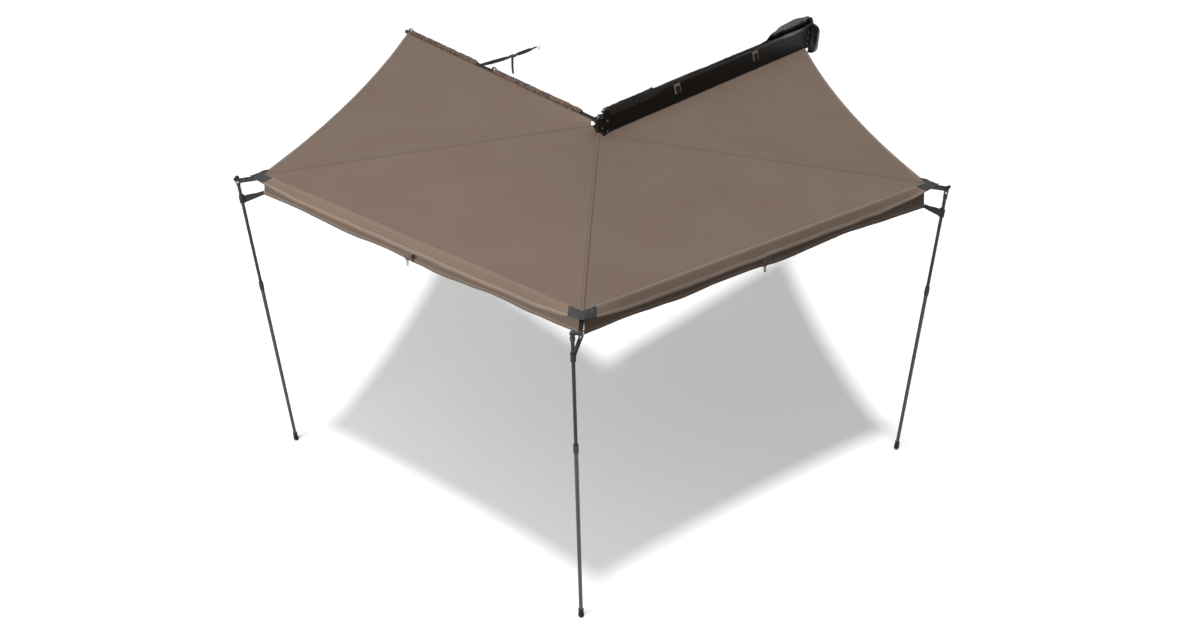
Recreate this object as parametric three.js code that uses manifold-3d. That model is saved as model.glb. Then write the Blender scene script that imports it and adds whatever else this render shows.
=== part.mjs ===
// A fan-folding side awning: a long board, four arms on one upright hinge pin at its end, a four-panel canopy
// sewn over them, and three telescopic poles that fold up beside their arms.
// Millimetres, +Z up, +X along the board away from the hinge, +Y out of the board's back.
// The origin is the middle of the board's back face.
import * as THREE from "three";
import { mergeVertices } from "three/addons/utils/BufferGeometryUtils.js";
import Module from "manifold-3d";

const wasm = await Module();
wasm.setup();

// Fits shared by all pieces
const seatGap = 0.3;
const slideGap = 0.4;
const cutOverrun = 2;
const mergeReach = 0.001;
const halfShare = 0.5;
const roundSides = 18;
const smallSides = 10;
const bendSteps = 3;
const roundSteps = 6;

// Backing board, an extrusion with two bolt channels in its back
const boardLength = 2060;
const boardHeight = 156;
const boardDepth = 25;
const boardWall = 2;
const boardCorner = 3;
const channelRise = 40;
const channelMouth = 9;
const channelLip = 2.5;
const channelWidth = 18;
const channelDepth = 7;

// Cap on the board's far end, with a lip that three rivets hold on the face
const capThickness = 4;
const capPlugLength = 20;
const capPlugGap = 0.5;
const capLipLength = 18;
const capLipThickness = 1.6;
const capRivetRadius = 4;
const capRivetHeight = 1.8;
const capRivetSpacing = 44;

// Hinge: pin, bracket and the stack of four arm knuckles
const pinBehindBoard = 90;
const pinBeforeBoard = 28;
const pinRadius = 6;
const pinHeadRadius = 10.5;
const pinHeadHeight = 7;
const pinNutHeight = 9;
const armPitch = 36;
const knuckleGap = 0.6;
const knuckleRadius = 20;
const knuckleBoreGap = 0.25;
const knuckleNeckLength = 48;
const cheekThickness = 5;
const cheekRadius = 24;
const cheekLean = 40;
const webThickness = 5;
const webNearEdge = 36;
const webBoardLap = 34;
const bracketBoltRadius = 6;
const bracketBoltHeight = 4;
const bracketBoltColumns = [57, 100];
const bracketRibWidth = 6;
const bracketRibReach = 12;

// Arms: square tube, plugged at both ends
const armAngles = [-64, -136, -206, -272.5];
const armSize = 22;
const armWall = 1.5;
const armCorner = 2.5;
const plugLength = 55;
const plugGap = 0.35;
const tipBlockLength = 30;
const tipEyeRadius = 12;
const poleReachFirst = 2074;
const poleStagger = 38;
const bareArmReach = 2150;
const bareCapLength = 8;
const knobReach = 10;
const knobRise = 13;
const knobRadius = 9;
const knobHoleRadius = 3.6;
const knobWidth = 12;

// Pole pivot across the arm's tip
const poleSideOffset = 37;
const spacerRadius = 8.5;
const pivotBoltRadius = 4;
const pivotBoltHeadRadius = 7.5;
const pivotBoltHeadHeight = 5.5;
const pivotRunningGap = 0.25;

// Telescopic poles
const pivotAboveGround = 1905;
const poleHeadWidth = 21;
const poleHeadRadius = 12.5;
const poleSocketRadius = 12;
const poleSocketShoulder = 10;
const poleSocketTop = 14;
const poleSocketBottom = 42;
const poleRivetRadius = 3.6;
const poleRivetHeight = 1.6;
const poleRivetDrop = 28;
const upperTubeRadius = 9.5;
const upperTubeWall = 1.2;
const upperTubeLength = 1120;
const guideLength = 34;
const guideGap = 0.2;
const lowerTubeWall = 1.2;
const lowerTopAboveGround = 1260;
const lockRadius = 14;
const lockFluteDepth = 1;
const lockFlutes = 14;
const lockLength = 62;
const lockCrown = 14;
const lockEndTaper = 2;
const lockGripShare = 0.62;
const footRadius = 17;
const footCollarRadius = 15;
const footWaistRadius = 13.4;
const footLength = 62;
const footSocketDepth = 38;
const footSoleRadius = 9;
const footToeRound = 4;
const footToeHeight = 15;
const footTaper = 1.8;
const footCollarHeight = 10;

// Clips that take a folded pole, open downwards
const clipWall = 2.6;
const clipLength = 18;
const clipMouthGap = 0.9;
const clipLegLength = 9;
const clipBridge = 5;
const innerClipReach = 1112;

// Canopy cloth
const clothThickness = 1.6;
const seamGap = 0.4;
const neckReach = 62;
const cornerSetbacks = [89, 145, 138, 150];
const rootFrontInset = 34;
const rootRise = 9;
const armShoulder = 2.5;
const edgeBows = [104, 40, 34, 88];
const edgeSags = [16, 30, 32, 22];
const bandOut = 34;
const bandDrop = 58;
const bandSettle = 120;
const cornerFlare = 60;
const flareFade = 70;
const clothRows = 10;
const bandRows = 3;
const clothColumns = 14;

// Valances under the two pole-side edges
const valanceHeight = 116;
const valanceSag = 26;
const valanceInset = 7;
const valanceEndInset = 21;
const valanceTopGap = 0.5;
const valanceFold = 9;
const valanceFolds = 3;
const valanceFlare = 22;
const valanceColumns = 30;
const valanceRows = 4;

// Corner patches
const patchLeg = 66;
const patchLap = 30;
const patchThickness = 1.4;

// Pull tabs at the middle of the pole-side edges
const tabTopWidth = 62;
const tabBottomWidth = 26;
const tabLength = 58;
const tabThickness = 3;
const tabWebbingWidth = 16;
const tabWebbingLength = 34;
const tabLean = 16;
const tabChordShare = 0.05;

// Webbing that ties the valance corners to the poles
const webbingThickness = 2.4;
const loopTopDrop = 112;
const loopHeight = 46;
const strapEndWidth = 26;

// Sleeve over the last arm
const sleeveInnerStart = 154;
const sleeveClipGap = 50;
const sleeveTieGap = 36;
const sleeveTipGap = 24;
const sleeveHalfWidth = 16;
const sleeveHalfHeight = 19;
const sleevePucker = 1.8;
const sleevePuckerPitch = 110;
const sleeveSides = 8;
const sleeveGap = 0.7;

// Tie strap from the last arm
const tieBeyondClip = 110;
const tieWidth = 25;
const tieThickness = 2;
const tieLength = 470;
const tieSag = 9;
const tieBuckleAt = 268;
const tieBuckleLength = 44;
const tieBuckleWidth = 34;
const tieBuckleThickness = 9;
const tieTailLength = 130;
const tieHookLength = 40;
const tieHookWidth = 30;
const tieHookWire = 5;
const tieSteps = 16;

// Soft cover, thrown back over the board's top
const coverHalfWidth = 19;
const coverHeight = 17;
const coverLoopHeight = 85;
const coverLoopLength = 600;
const coverPeakShare = 0.85;
const coverRipple = 4;
const coverRipples = 13;
const coverStations = 40;
const coverSides = 10;
const pouchStandoff = 17;
const pouchLength = 25;
const pouchDepth = 60;
const pouchWall = 3;
const pouchTuck = 4;
const pouchCorner = 52;

// Retaining straps on the board's face
const retainingPlaces = [-388, 408];
const retainingWidth = 50;
const retainingThickness = 2;
const retainingDrop = 78;
const retainingTopGap = 3;
const retainingLeanShare = 0.32;
const buckleWidth = 33;
const buckleLength = 73;
const buckleThickness = 8;
const buckleCorner = 9;
const buckleBar = 6;
const buckleWindow = 13;
const buckleStart = 21;

// Finishes
const finishes = {
  board: new THREE.MeshStandardMaterial({ color: 0x1b1c1d, roughness: 0.45, metalness: 0.55 }),
  casting: new THREE.MeshStandardMaterial({ color: 0x222324, roughness: 0.5, metalness: 0.5 }),
  armTube: new THREE.MeshStandardMaterial({ color: 0x2b2c2e, roughness: 0.4, metalness: 0.6 }),
  poleTube: new THREE.MeshStandardMaterial({ color: 0x4a4b4d, roughness: 0.35, metalness: 0.7 }),
  fastener: new THREE.MeshStandardMaterial({ color: 0xc6c8ca, roughness: 0.3, metalness: 0.9 }),
  plastic: new THREE.MeshStandardMaterial({ color: 0x1d1d1e, roughness: 0.6, metalness: 0 }),
  rubber: new THREE.MeshStandardMaterial({ color: 0x202021, roughness: 0.85, metalness: 0 }),
  canopy: new THREE.MeshStandardMaterial({ color: 0x85756b, roughness: 0.9, metalness: 0 }),
  sleeve: new THREE.MeshStandardMaterial({ color: 0x6a5d58, roughness: 0.9, metalness: 0 }),
  patch: new THREE.MeshStandardMaterial({ color: 0x45464a, roughness: 0.9, metalness: 0 }),
  webbing: new THREE.MeshStandardMaterial({ color: 0x19191b, roughness: 0.85, metalness: 0 }),
  tanWebbing: new THREE.MeshStandardMaterial({ color: 0x9c8a78, roughness: 0.85, metalness: 0 }),
  cover: new THREE.MeshStandardMaterial({ color: 0x1a1a1c, roughness: 0.4, metalness: 0 }),
};

// Places worked out from the sizes above
const degree = Math.PI / 180;
const armHalf = armSize / 2;
const pinX = -boardLength / 2 - pinBehindBoard;
const pinY = -boardDepth - pinBeforeBoard;
const stackHalf = (armPitch * armAngles.length) / 2;
const poleCount = armAngles.length - 1;
const lowerTubeRadius = upperTubeRadius + slideGap + lowerTubeWall;
const clothSeat = armHalf + seatGap + clothThickness;
const armLevel = (k) => (k - (armAngles.length - 1) / 2) * armPitch;
const poleReach = (k) => poleReachFirst + poleStagger * k;
const armReach = (k) => (k < poleCount ? poleReach(k) : bareArmReach);
const groundDrop = (k) => pivotAboveGround + armLevel(k) - armLevel(0);
const lerp = THREE.MathUtils.lerp;
const clamp = THREE.MathUtils.clamp;

// Closed mesh to solid and back
function solidOf(geometry) {
  const loose = geometry.index ? geometry.toNonIndexed() : geometry.clone();
  const bare = new THREE.BufferGeometry().setAttribute("position", loose.getAttribute("position"));
  const merged = mergeVertices(bare, mergeReach);
  const mesh = {
    numProp: 3,
    vertProperties: merged.attributes.position.array,
    triVerts: new Uint32Array(merged.index.array),
  };
  const solid = new wasm.Manifold(new wasm.Mesh(mesh));
  if (solid.volume() > 0) return solid;
  for (let i = 0; i < mesh.triVerts.length; i += 3) {
    [mesh.triVerts[i + 1], mesh.triVerts[i + 2]] = [mesh.triVerts[i + 2], mesh.triVerts[i + 1]];
  }
  return new wasm.Manifold(new wasm.Mesh(mesh));
}

function geometryOf(solid) {
  const mesh = solid.getMesh();
  const places = new Float32Array(mesh.numVert * 3);
  for (let i = 0; i < mesh.numVert; i++) {
    places.set(mesh.vertProperties.subarray(i * mesh.numProp, i * mesh.numProp + 3), i * 3);
  }
  const geometry = new THREE.BufferGeometry();
  geometry.setAttribute("position", new THREE.BufferAttribute(places, 3));
  geometry.setIndex(new THREE.BufferAttribute(mesh.triVerts, 1));
  geometry.computeVertexNormals();
  return geometry;
}

const join = (...geometries) => geometryOf(geometries.map(solidOf).reduce((a, b) => a.add(b)));
const cut = (body, ...tools) => geometryOf(tools.map(solidOf).reduce((a, b) => a.subtract(b), solidOf(body)));

// Basic forms
function block(x0, x1, y0, y1, z0, z1) {
  const geometry = new THREE.BoxGeometry(x1 - x0, y1 - y0, z1 - z0);
  return geometry.translate((x0 + x1) / 2, (y0 + y1) / 2, (z0 + z1) / 2);
}

function uprightRod(radius, z0, z1, sides = roundSides) {
  const geometry = new THREE.CylinderGeometry(radius, radius, z1 - z0, sides);
  return geometry.rotateX(Math.PI / 2).translate(0, 0, (z0 + z1) / 2);
}

function crossRod(radius, y0, y1, sides = roundSides) {
  const geometry = new THREE.CylinderGeometry(radius, radius, y1 - y0, sides);
  return geometry.translate(0, (y0 + y1) / 2, 0);
}

// Profile points are [radius, height] pairs, turned round the Z axis
function turned(profile, sides = roundSides) {
  const points = profile.map(([radius, height]) => new THREE.Vector2(radius, height));
  return new THREE.LatheGeometry(points, sides).rotateX(Math.PI / 2);
}

function roundedOutline(width, height, corner, target = new THREE.Shape()) {
  const w = width / 2;
  const h = height / 2;
  target.moveTo(-w + corner, -h);
  target.lineTo(w - corner, -h);
  target.absarc(w - corner, -h + corner, corner, -Math.PI / 2, 0);
  target.lineTo(w, h - corner);
  target.absarc(w - corner, h - corner, corner, 0, Math.PI / 2);
  target.lineTo(-w + corner, h);
  target.absarc(-w + corner, h - corner, corner, Math.PI / 2, Math.PI);
  target.lineTo(-w, -h + corner);
  target.absarc(-w + corner, -h + corner, corner, Math.PI, Math.PI * 1.5);
  return target;
}

// An outline in the Y-Z plane, run along X
function along(shape, x0, x1, curveSegments = bendSteps) {
  const geometry = new THREE.ExtrudeGeometry(shape, { depth: x1 - x0, bevelEnabled: false, curveSegments });
  const turn = new THREE.Matrix4().makeBasis(
    new THREE.Vector3(0, 1, 0),
    new THREE.Vector3(0, 0, 1),
    new THREE.Vector3(1, 0, 0),
  );
  return geometry.applyMatrix4(turn).translate(x0, 0, 0);
}

// An outline in the X-Y plane, raised along Z
function raised(shape, z0, z1, curveSegments = 8) {
  const geometry = new THREE.ExtrudeGeometry(shape, { depth: z1 - z0, bevelEnabled: false, curveSegments });
  return geometry.translate(0, 0, z0);
}

// A cloth of even thickness under the grid of points place(i, j), raised off it by lift
function sheet(place, thickness, rows, columns, lift = 0) {
  const top = [];
  const bottom = [];
  for (let i = 0; i <= rows; i++) {
    for (let j = 0; j <= columns; j++) {
      const down = place(Math.min(i + 1, rows), j).sub(place(Math.max(i - 1, 0), j));
      const over = place(i, Math.min(j + 1, columns)).sub(place(i, Math.max(j - 1, 0)));
      const normal = over.cross(down).normalize();
      top.push(place(i, j).addScaledVector(normal, lift));
      bottom.push(place(i, j).addScaledVector(normal, lift - thickness));
    }
  }
  return shell(top, bottom, rows, columns);
}

// Joins two grids of points, one over the other, round their rim
function shell(top, bottom, rows, columns) {
  const places = [...top, ...bottom].flatMap((p) => [p.x, p.y, p.z]);
  const index = [];
  const below = top.length;
  const at = (i, j) => i * (columns + 1) + j;
  const quad = (a, b, c, d) => index.push(a, b, c, a, c, d);
  for (let i = 0; i < rows; i++) {
    for (let j = 0; j < columns; j++) {
      quad(at(i, j), at(i + 1, j), at(i + 1, j + 1), at(i, j + 1));
      quad(below + at(i, j), below + at(i, j + 1), below + at(i + 1, j + 1), below + at(i + 1, j));
    }
  }
  for (let i = 0; i < rows; i++) {
    quad(at(i, 0), below + at(i, 0), below + at(i + 1, 0), at(i + 1, 0));
    quad(at(i + 1, columns), below + at(i + 1, columns), below + at(i, columns), at(i, columns));
  }
  for (let j = 0; j < columns; j++) {
    quad(at(0, j + 1), below + at(0, j + 1), below + at(0, j), at(0, j));
    quad(at(rows, j), below + at(rows, j), below + at(rows, j + 1), at(rows, j + 1));
  }
  const geometry = new THREE.BufferGeometry();
  geometry.setAttribute("position", new THREE.BufferAttribute(new Float32Array(places), 3));
  geometry.setIndex(index);
  return geometryOf(solidOf(geometry));
}

// A closed tube through rings of points
function loft(rings) {
  const sides = rings[0].length;
  const places = rings.flat().flatMap((p) => [p.x, p.y, p.z]);
  const index = [];
  for (let i = 0; i + 1 < rings.length; i++) {
    for (let j = 0; j < sides; j++) {
      const a = i * sides + j;
      const b = i * sides + ((j + 1) % sides);
      index.push(a, b, b + sides, a, b + sides, a + sides);
    }
  }
  const last = (rings.length - 1) * sides;
  for (let j = 1; j + 1 < sides; j++) {
    index.push(0, j + 1, j);
    index.push(last, last + j, last + j + 1);
  }
  const geometry = new THREE.BufferGeometry();
  geometry.setAttribute("position", new THREE.BufferAttribute(new Float32Array(places), 3));
  geometry.setIndex(index);
  return geometryOf(solidOf(geometry));
}

const pouchStart = boardLength / 2 + seatGap + capThickness + seatGap + pouchStandoff;

const awning = new THREE.Group();
const hub = new THREE.Group();
hub.position.set(pinX, pinY, 0);
awning.add(hub);

function piece(name, geometry, finish, parent) {
  const mesh = new THREE.Mesh(geometry, finishes[finish]);
  mesh.name = name;
  parent.add(mesh);
  return mesh;
}

// Backing board

function boardSection() {
  const section = new THREE.Shape();
  const back = 0;
  const front = -boardDepth;
  const top = boardHeight / 2;
  const floor = back - channelLip - channelDepth;
  section.moveTo(back, -top + boardCorner);
  for (const rise of [-channelRise, channelRise]) {
    section.lineTo(back, rise - channelMouth / 2);
    section.lineTo(back - channelLip, rise - channelMouth / 2);
    section.lineTo(back - channelLip, rise - channelWidth / 2);
    section.lineTo(floor, rise - channelWidth / 2);
    section.lineTo(floor, rise + channelWidth / 2);
    section.lineTo(back - channelLip, rise + channelWidth / 2);
    section.lineTo(back - channelLip, rise + channelMouth / 2);
    section.lineTo(back, rise + channelMouth / 2);
  }
  section.lineTo(back, top - boardCorner);
  section.lineTo(back - boardCorner, top);
  section.lineTo(front + boardCorner, top);
  section.lineTo(front, top - boardCorner);
  section.lineTo(front, -top + boardCorner);
  section.lineTo(front + boardCorner, -top);
  section.lineTo(back - boardCorner, -top);
  for (const [low, high, rear] of boardChambers()) {
    const chamber = new THREE.Path();
    chamber.moveTo(front + boardWall, low);
    chamber.lineTo(rear, low);
    chamber.lineTo(rear, high);
    chamber.lineTo(front + boardWall, high);
    section.holes.push(chamber);
  }
  return section;
}

// Hollow chambers as [lowest, highest, rearmost]
function boardChambers() {
  const reach = boardHeight / 2 - boardWall;
  const inner = channelRise - channelWidth / 2 - boardWall;
  const outer = channelRise + channelWidth / 2 + boardWall;
  const behindChannel = -channelLip - channelDepth - boardWall;
  return [
    [-reach, -outer, -boardWall],
    [-outer + boardWall, -inner - boardWall, behindChannel],
    [-inner, inner, -boardWall],
    [inner + boardWall, outer - boardWall, behindChannel],
    [outer, reach, -boardWall],
  ];
}

function farEndCap() {
  const x0 = boardLength / 2 + seatGap;
  const half = boardHeight / 2;
  const parts = [block(x0, x0 + capThickness, -boardDepth, 0, -half, half)];
  for (const [low, high, rear] of boardChambers()) {
    const front = -boardDepth + boardWall + capPlugGap;
    const bottom = low + capPlugGap;
    const top = high - capPlugGap;
    parts.push(block(x0 - capPlugLength, x0 + capThickness / 2, front, rear - capPlugGap, bottom, top));
  }
  const lipFront = -boardDepth - seatGap - capLipThickness;
  const lipBack = -boardDepth - seatGap;
  const lipHalf = half - boardCorner;
  parts.push(block(x0 - capLipLength, x0 + capThickness, lipFront, lipBack, -lipHalf, lipHalf));
  parts.push(block(x0, x0 + capThickness, lipFront, -boardDepth + boardCorner, -lipHalf, lipHalf));
  for (const step of [-1, 0, 1]) {
    const head = lipFront - capRivetHeight;
    const rivet = crossRod(capRivetRadius, head, lipFront + capLipThickness / 2, smallSides);
    parts.push(rivet.translate(x0 - capLipLength / 2, 0, step * capRivetSpacing));
  }
  return join(...parts);
}

// Hinge bracket and pin, in the hub's frame

function cheekOutline() {
  const outline = new THREE.Shape();
  const webBack = pinBeforeBoard - seatGap;
  const lean = cheekLean * degree;
  outline.absarc(0, 0, cheekRadius, 90 * degree + lean, 360 * degree - lean / 2);
  outline.lineTo(webNearEdge + cheekRadius, webBack - webThickness - cheekRadius / 2);
  outline.lineTo(pinBehindBoard + webBoardLap, webBack - webThickness);
  outline.lineTo(pinBehindBoard + webBoardLap, webBack);
  outline.lineTo(webNearEdge - webThickness, webBack);
  return outline;
}

function hingeBracket() {
  const inner = stackHalf + seatGap;
  const outer = inner + cheekThickness;
  const webBack = pinBeforeBoard - seatGap;
  const webFront = webBack - webThickness;
  const webEnd = pinBehindBoard + webBoardLap;
  const parts = [
    raised(cheekOutline(), inner, outer),
    raised(cheekOutline(), -outer, -inner),
    block(webNearEdge, webEnd, webFront, webBack, -outer, outer),
  ];
  for (const x of [webNearEdge + bracketRibWidth / 2, pinBehindBoard - bracketRibWidth]) {
    parts.push(block(x - bracketRibWidth / 2, x + bracketRibWidth / 2, webBack - webThickness / 2,
      webBack + bracketRibReach, -outer, outer));
  }
  armAngles.forEach((_, k) => {
    const head = webFront - bracketBoltHeight;
    const bolt = crossRod(bracketBoltRadius, head, webFront + webThickness / 2, smallSides);
    parts.push(bolt.translate(bracketBoltColumns[(k + 1) % 2], 0, armLevel(k)));
  });
  const bore = uprightRod(pinRadius + seatGap, -outer - cutOverrun, outer + cutOverrun);
  return cut(join(...parts), bore);
}

function hingePin() {
  const top = stackHalf + seatGap + cheekThickness + seatGap;
  const crown = pinHeadRadius - pinHeadHeight / 3;
  return turned([
    [0, -top - pinNutHeight],
    [crown, -top - pinNutHeight],
    [pinHeadRadius, -top - pinNutHeight + pinHeadHeight / 3],
    [pinHeadRadius, -top],
    [pinRadius, -top],
    [pinRadius, top],
    [pinHeadRadius, top],
    [pinHeadRadius, top + (pinHeadHeight * 2) / 3],
    [crown, top + pinHeadHeight],
    [0, top + pinHeadHeight],
  ]);
}

// Arms

function squareTube(x0, x1) {
  const outline = roundedOutline(armSize, armSize, armCorner);
  const inside = armSize - 2 * armWall;
  outline.holes.push(roundedOutline(inside, inside, armCorner - armWall, new THREE.Path()));
  return along(outline, x0, x1);
}

function tubePlug(x0, x1) {
  const half = armHalf - armWall - plugGap;
  return block(x0, x1, -half, half, -half, half);
}

function knuckle() {
  const half = (armPitch - knuckleGap) / 2;
  const neck = along(roundedOutline(armSize, armSize, armCorner), 0, knuckleNeckLength);
  const gusset = block(0, knuckleRadius + armCorner, -armHalf, armHalf, armCorner - half, half - armCorner);
  const plug = tubePlug(knuckleNeckLength - cutOverrun, knuckleNeckLength + plugLength);
  const barrel = uprightRod(knuckleRadius, -half, half);
  const bore = uprightRod(pinRadius + knuckleBoreGap, -half - cutOverrun, half + cutOverrun);
  return cut(join(barrel, gusset, neck, plug), bore);
}

function tipFitting(reach) {
  const start = reach - tipBlockLength;
  const spacerEnd = -poleSideOffset + poleHeadWidth / 2 + seatGap;
  const parts = [
    tubePlug(start - plugLength, start + cutOverrun),
    along(roundedOutline(armSize, armSize, armCorner), start, reach - tipEyeRadius / 3),
    crossRod(tipEyeRadius, -armHalf, armHalf).translate(reach, 0, 0),
    crossRod(spacerRadius, spacerEnd, -armHalf + cutOverrun).translate(reach, 0, 0),
  ];
  const knobAt = (geometry) => geometry.translate(reach + knobReach, 0, knobRise);
  parts.push(knobAt(crossRod(knobRadius, -knobWidth / 2, knobWidth / 2, smallSides)));
  const knobHole = knobAt(crossRod(knobHoleRadius, -armHalf, armHalf, smallSides));
  const bore = crossRod(pivotBoltRadius + seatGap, -poleSideOffset, armHalf + cutOverrun);
  return cut(join(...parts), bore.translate(reach, 0, 0), knobHole);
}

function pivotBolt(reach) {
  const far = -poleSideOffset - poleHeadWidth / 2 - seatGap;
  const near = armHalf + seatGap;
  const chamfer = pivotBoltHeadHeight / 3;
  const profile = [
    [0, far - pivotBoltHeadHeight],
    [pivotBoltHeadRadius - chamfer, far - pivotBoltHeadHeight],
    [pivotBoltHeadRadius, far - pivotBoltHeadHeight + chamfer],
    [pivotBoltHeadRadius, far],
    [pivotBoltRadius, far],
    [pivotBoltRadius, near],
    [pivotBoltHeadRadius, near],
    [pivotBoltHeadRadius, near + pivotBoltHeadHeight - chamfer],
    [pivotBoltHeadRadius - chamfer, near + pivotBoltHeadHeight],
    [0, near + pivotBoltHeadHeight],
  ];
  const points = profile.map(([radius, height]) => new THREE.Vector2(radius, height));
  return new THREE.LatheGeometry(points, roundSides / 2).translate(reach, 0, 0);
}

// A clip open downwards, bridged to the arm's side
function poleClip(reach) {
  const inner = lowerTubeRadius + clipMouthGap;
  const outer = inner + clipWall;
  const hook = new THREE.Shape();
  hook.moveTo(outer, -clipLegLength);
  hook.lineTo(outer, 0);
  hook.absarc(0, 0, outer, 0, Math.PI);
  hook.lineTo(-outer, -clipLegLength);
  hook.lineTo(-inner, -clipLegLength);
  hook.lineTo(-inner, 0);
  hook.absarc(0, 0, inner, Math.PI, 0, true);
  hook.lineTo(inner, -clipLegLength);
  const x0 = reach - clipLength / 2;
  const x1 = reach + clipLength / 2;
  const grip = along(hook, x0, x1, roundSteps).translate(0, -poleSideOffset, 0);
  const bridgeEnd = -poleSideOffset + inner + clipWall / 2;
  const bridge = block(x0, x1, bridgeEnd, -armHalf - seatGap, -clipBridge, clipBridge / 2);
  return join(grip, bridge);
}

function bareArmCap() {
  const start = bareArmReach - bareCapLength;
  const plug = tubePlug(start - plugLength, start + cutOverrun);
  const cap = along(roundedOutline(armSize, armSize, armCorner), start, bareArmReach);
  const tongue = block(start, bareArmReach, -armHalf - cutOverrun, 0, -clipBridge, 0);
  return join(plug, cap, tongue, poleClip(bareArmReach - clipLength / 2));
}

// Poles, in a frame at the pivot with the pole hanging along -Z

function poleHead() {
  const half = poleHeadWidth / 2;
  const rivetEnd = poleSocketRadius + poleRivetHeight;
  const parts = [
    crossRod(poleHeadRadius, -half, half),
    uprightRod(poleSocketRadius, -poleSocketBottom, -poleSocketShoulder),
    uprightRod(half, -poleSocketTop, 0),
    crossRod(poleRivetRadius, -rivetEnd, rivetEnd, smallSides).translate(0, 0, -poleRivetDrop),
  ];
  const eye = crossRod(pivotBoltRadius + pivotRunningGap, -half - cutOverrun, half + cutOverrun);
  const socket = uprightRod(upperTubeRadius + seatGap, -poleSocketBottom - cutOverrun, -poleSocketTop);
  return cut(join(...parts), eye, socket);
}

function upperTube() {
  const top = -poleSocketTop - seatGap;
  const bottom = top - upperTubeLength;
  const bore = upperTubeRadius - upperTubeWall;
  const guide = lowerTubeRadius - lowerTubeWall - guideGap;
  return turned([
    [bore, bottom],
    [guide, bottom],
    [guide, bottom + guideLength],
    [upperTubeRadius, bottom + guideLength],
    [upperTubeRadius, top],
    [bore, top],
    [bore, bottom],
  ]);
}

function lowerTube(k) {
  const ground = -groundDrop(k);
  const top = ground + lowerTopAboveGround;
  const bottom = ground + footLength - footSocketDepth + seatGap;
  const bore = lowerTubeRadius - lowerTubeWall;
  return turned([
    [bore, bottom],
    [lowerTubeRadius, bottom],
    [lowerTubeRadius, top],
    [bore, top],
    [bore, bottom],
  ]);
}

// Fluted twist lock over the top of the lower tube
function twistLock(k) {
  const seat = -groundDrop(k) + lowerTopAboveGround;
  const top = seat + lockCrown;
  const bottom = top - lockLength;
  const gripHalf = (lockLength * lockGripShare) / 2;
  const middle = (top + bottom) / 2;
  const core = turned([
    [0, bottom],
    [lockRadius - lockEndTaper, bottom],
    [lockRadius - lockFluteDepth, bottom + lockEndTaper],
    [lockRadius - lockFluteDepth, top - lockEndTaper],
    [lockRadius - lockEndTaper, top],
    [0, top],
  ]);
  const grip = new THREE.Shape();
  for (let i = 0; i < lockFlutes * 2; i++) {
    const turn = (i / (lockFlutes * 2)) * Math.PI * 2;
    const radius = i % 2 ? lockRadius : lockRadius - lockFluteDepth;
    grip[i ? "lineTo" : "moveTo"](radius * Math.cos(turn), radius * Math.sin(turn));
  }
  const sleeve = raised(grip, middle - gripHalf, middle + gripHalf);
  const upperBore = uprightRod(upperTubeRadius + slideGap, bottom - cutOverrun, top + cutOverrun);
  const lowerBore = uprightRod(lowerTubeRadius + seatGap, bottom - cutOverrun, seat + seatGap);
  return cut(join(core, sleeve), upperBore, lowerBore);
}

function poleFoot(k) {
  const ground = -groundDrop(k);
  const top = ground + footLength;
  const socket = lowerTubeRadius + seatGap;
  const floor = top - footSocketDepth;
  return turned([
    [0, ground],
    [footSoleRadius, ground],
    [footRadius - footToeRound, ground + footToeRound],
    [footRadius, ground + footToeHeight],
    [footRadius - footTaper, ground + footLength / 2],
    [footWaistRadius, top - footCollarHeight - footToeRound],
    [footCollarRadius, top - footCollarHeight],
    [footCollarRadius, top - footTaper],
    [footWaistRadius, top],
    [socket, top],
    [socket, floor],
    [0, floor],
  ]);
}

// Canopy surface in the hub's frame. Panel p lies between edge p (0 is the board) and edge p + 1.
// u runs from the neck (0) to the crease (1) and over the outer band (2), v from the first edge to the next.

function armEnd(k) {
  return k < poleCount ? poleReach(k) : bareArmReach;
}

function cornerReach(k) {
  return armEnd(k) - cornerSetbacks[k];
}

function edgePoint(edge, u, side) {
  if (edge === 0) {
    const x = lerp(pinBehindBoard - webThickness, pinBehindBoard + boardLength - rootFrontInset, u);
    const y = pinBeforeBoard - seatGap - clothThickness;
    const lap = x < pinBehindBoard + webBoardLap ? webThickness + bracketBoltHeight + clothThickness : 0;
    return new THREE.Vector3(x, y - lap, -boardHeight / 2 + rootRise);
  }
  const turn = armAngles[edge - 1] * degree;
  const reach = lerp(neckReach, cornerReach(edge - 1), u);
  const bare = edge === armAngles.length;
  const aside = bare ? sleeveHalfWidth + sleevePucker + seatGap : (side * seamGap) / 2;
  const height = armLevel(edge - 1) + (bare ? sleevePucker : clothSeat);
  const p = new THREE.Vector3(reach * Math.cos(turn), reach * Math.sin(turn), height);
  return p.add(new THREE.Vector3(-Math.sin(turn), Math.cos(turn), 0).multiplyScalar(aside));
}

function panelPoint(panel, u, v) {
  const flat = Math.min(u, 1);
  const a = edgePoint(panel, flat, -1);
  const b = edgePoint(panel + 1, flat, 1);
  const p = a.clone().lerp(b, v);
  const width = Math.hypot(b.x - a.x, b.y - a.y);
  const shoulder = armHalf + armShoulder;
  const fromA = panel === 0 ? 0 : shoulder;
  const fromB = panel === armAngles.length - 1 ? 0 : shoulder;
  const share = clamp((v * width - fromA) / (width - fromA - fromB), 0, 1);
  p.z = lerp(a.z, b.z, share);
  const belly = 4 * share * (1 - share);
  const middle = edgePoint(panel, 1, -1).lerp(edgePoint(panel + 1, 1, 1), halfShare);
  const inward = new THREE.Vector3(-middle.x, -middle.y, 0).normalize();
  p.addScaledVector(inward, edgeBows[panel] * belly * flat ** 3);
  p.z -= edgeSags[panel] * belly * flat ** 2;
  if (u > 1) p.add(bandOffset(panel, v).multiplyScalar(u - 1));
  return p;
}

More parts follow.
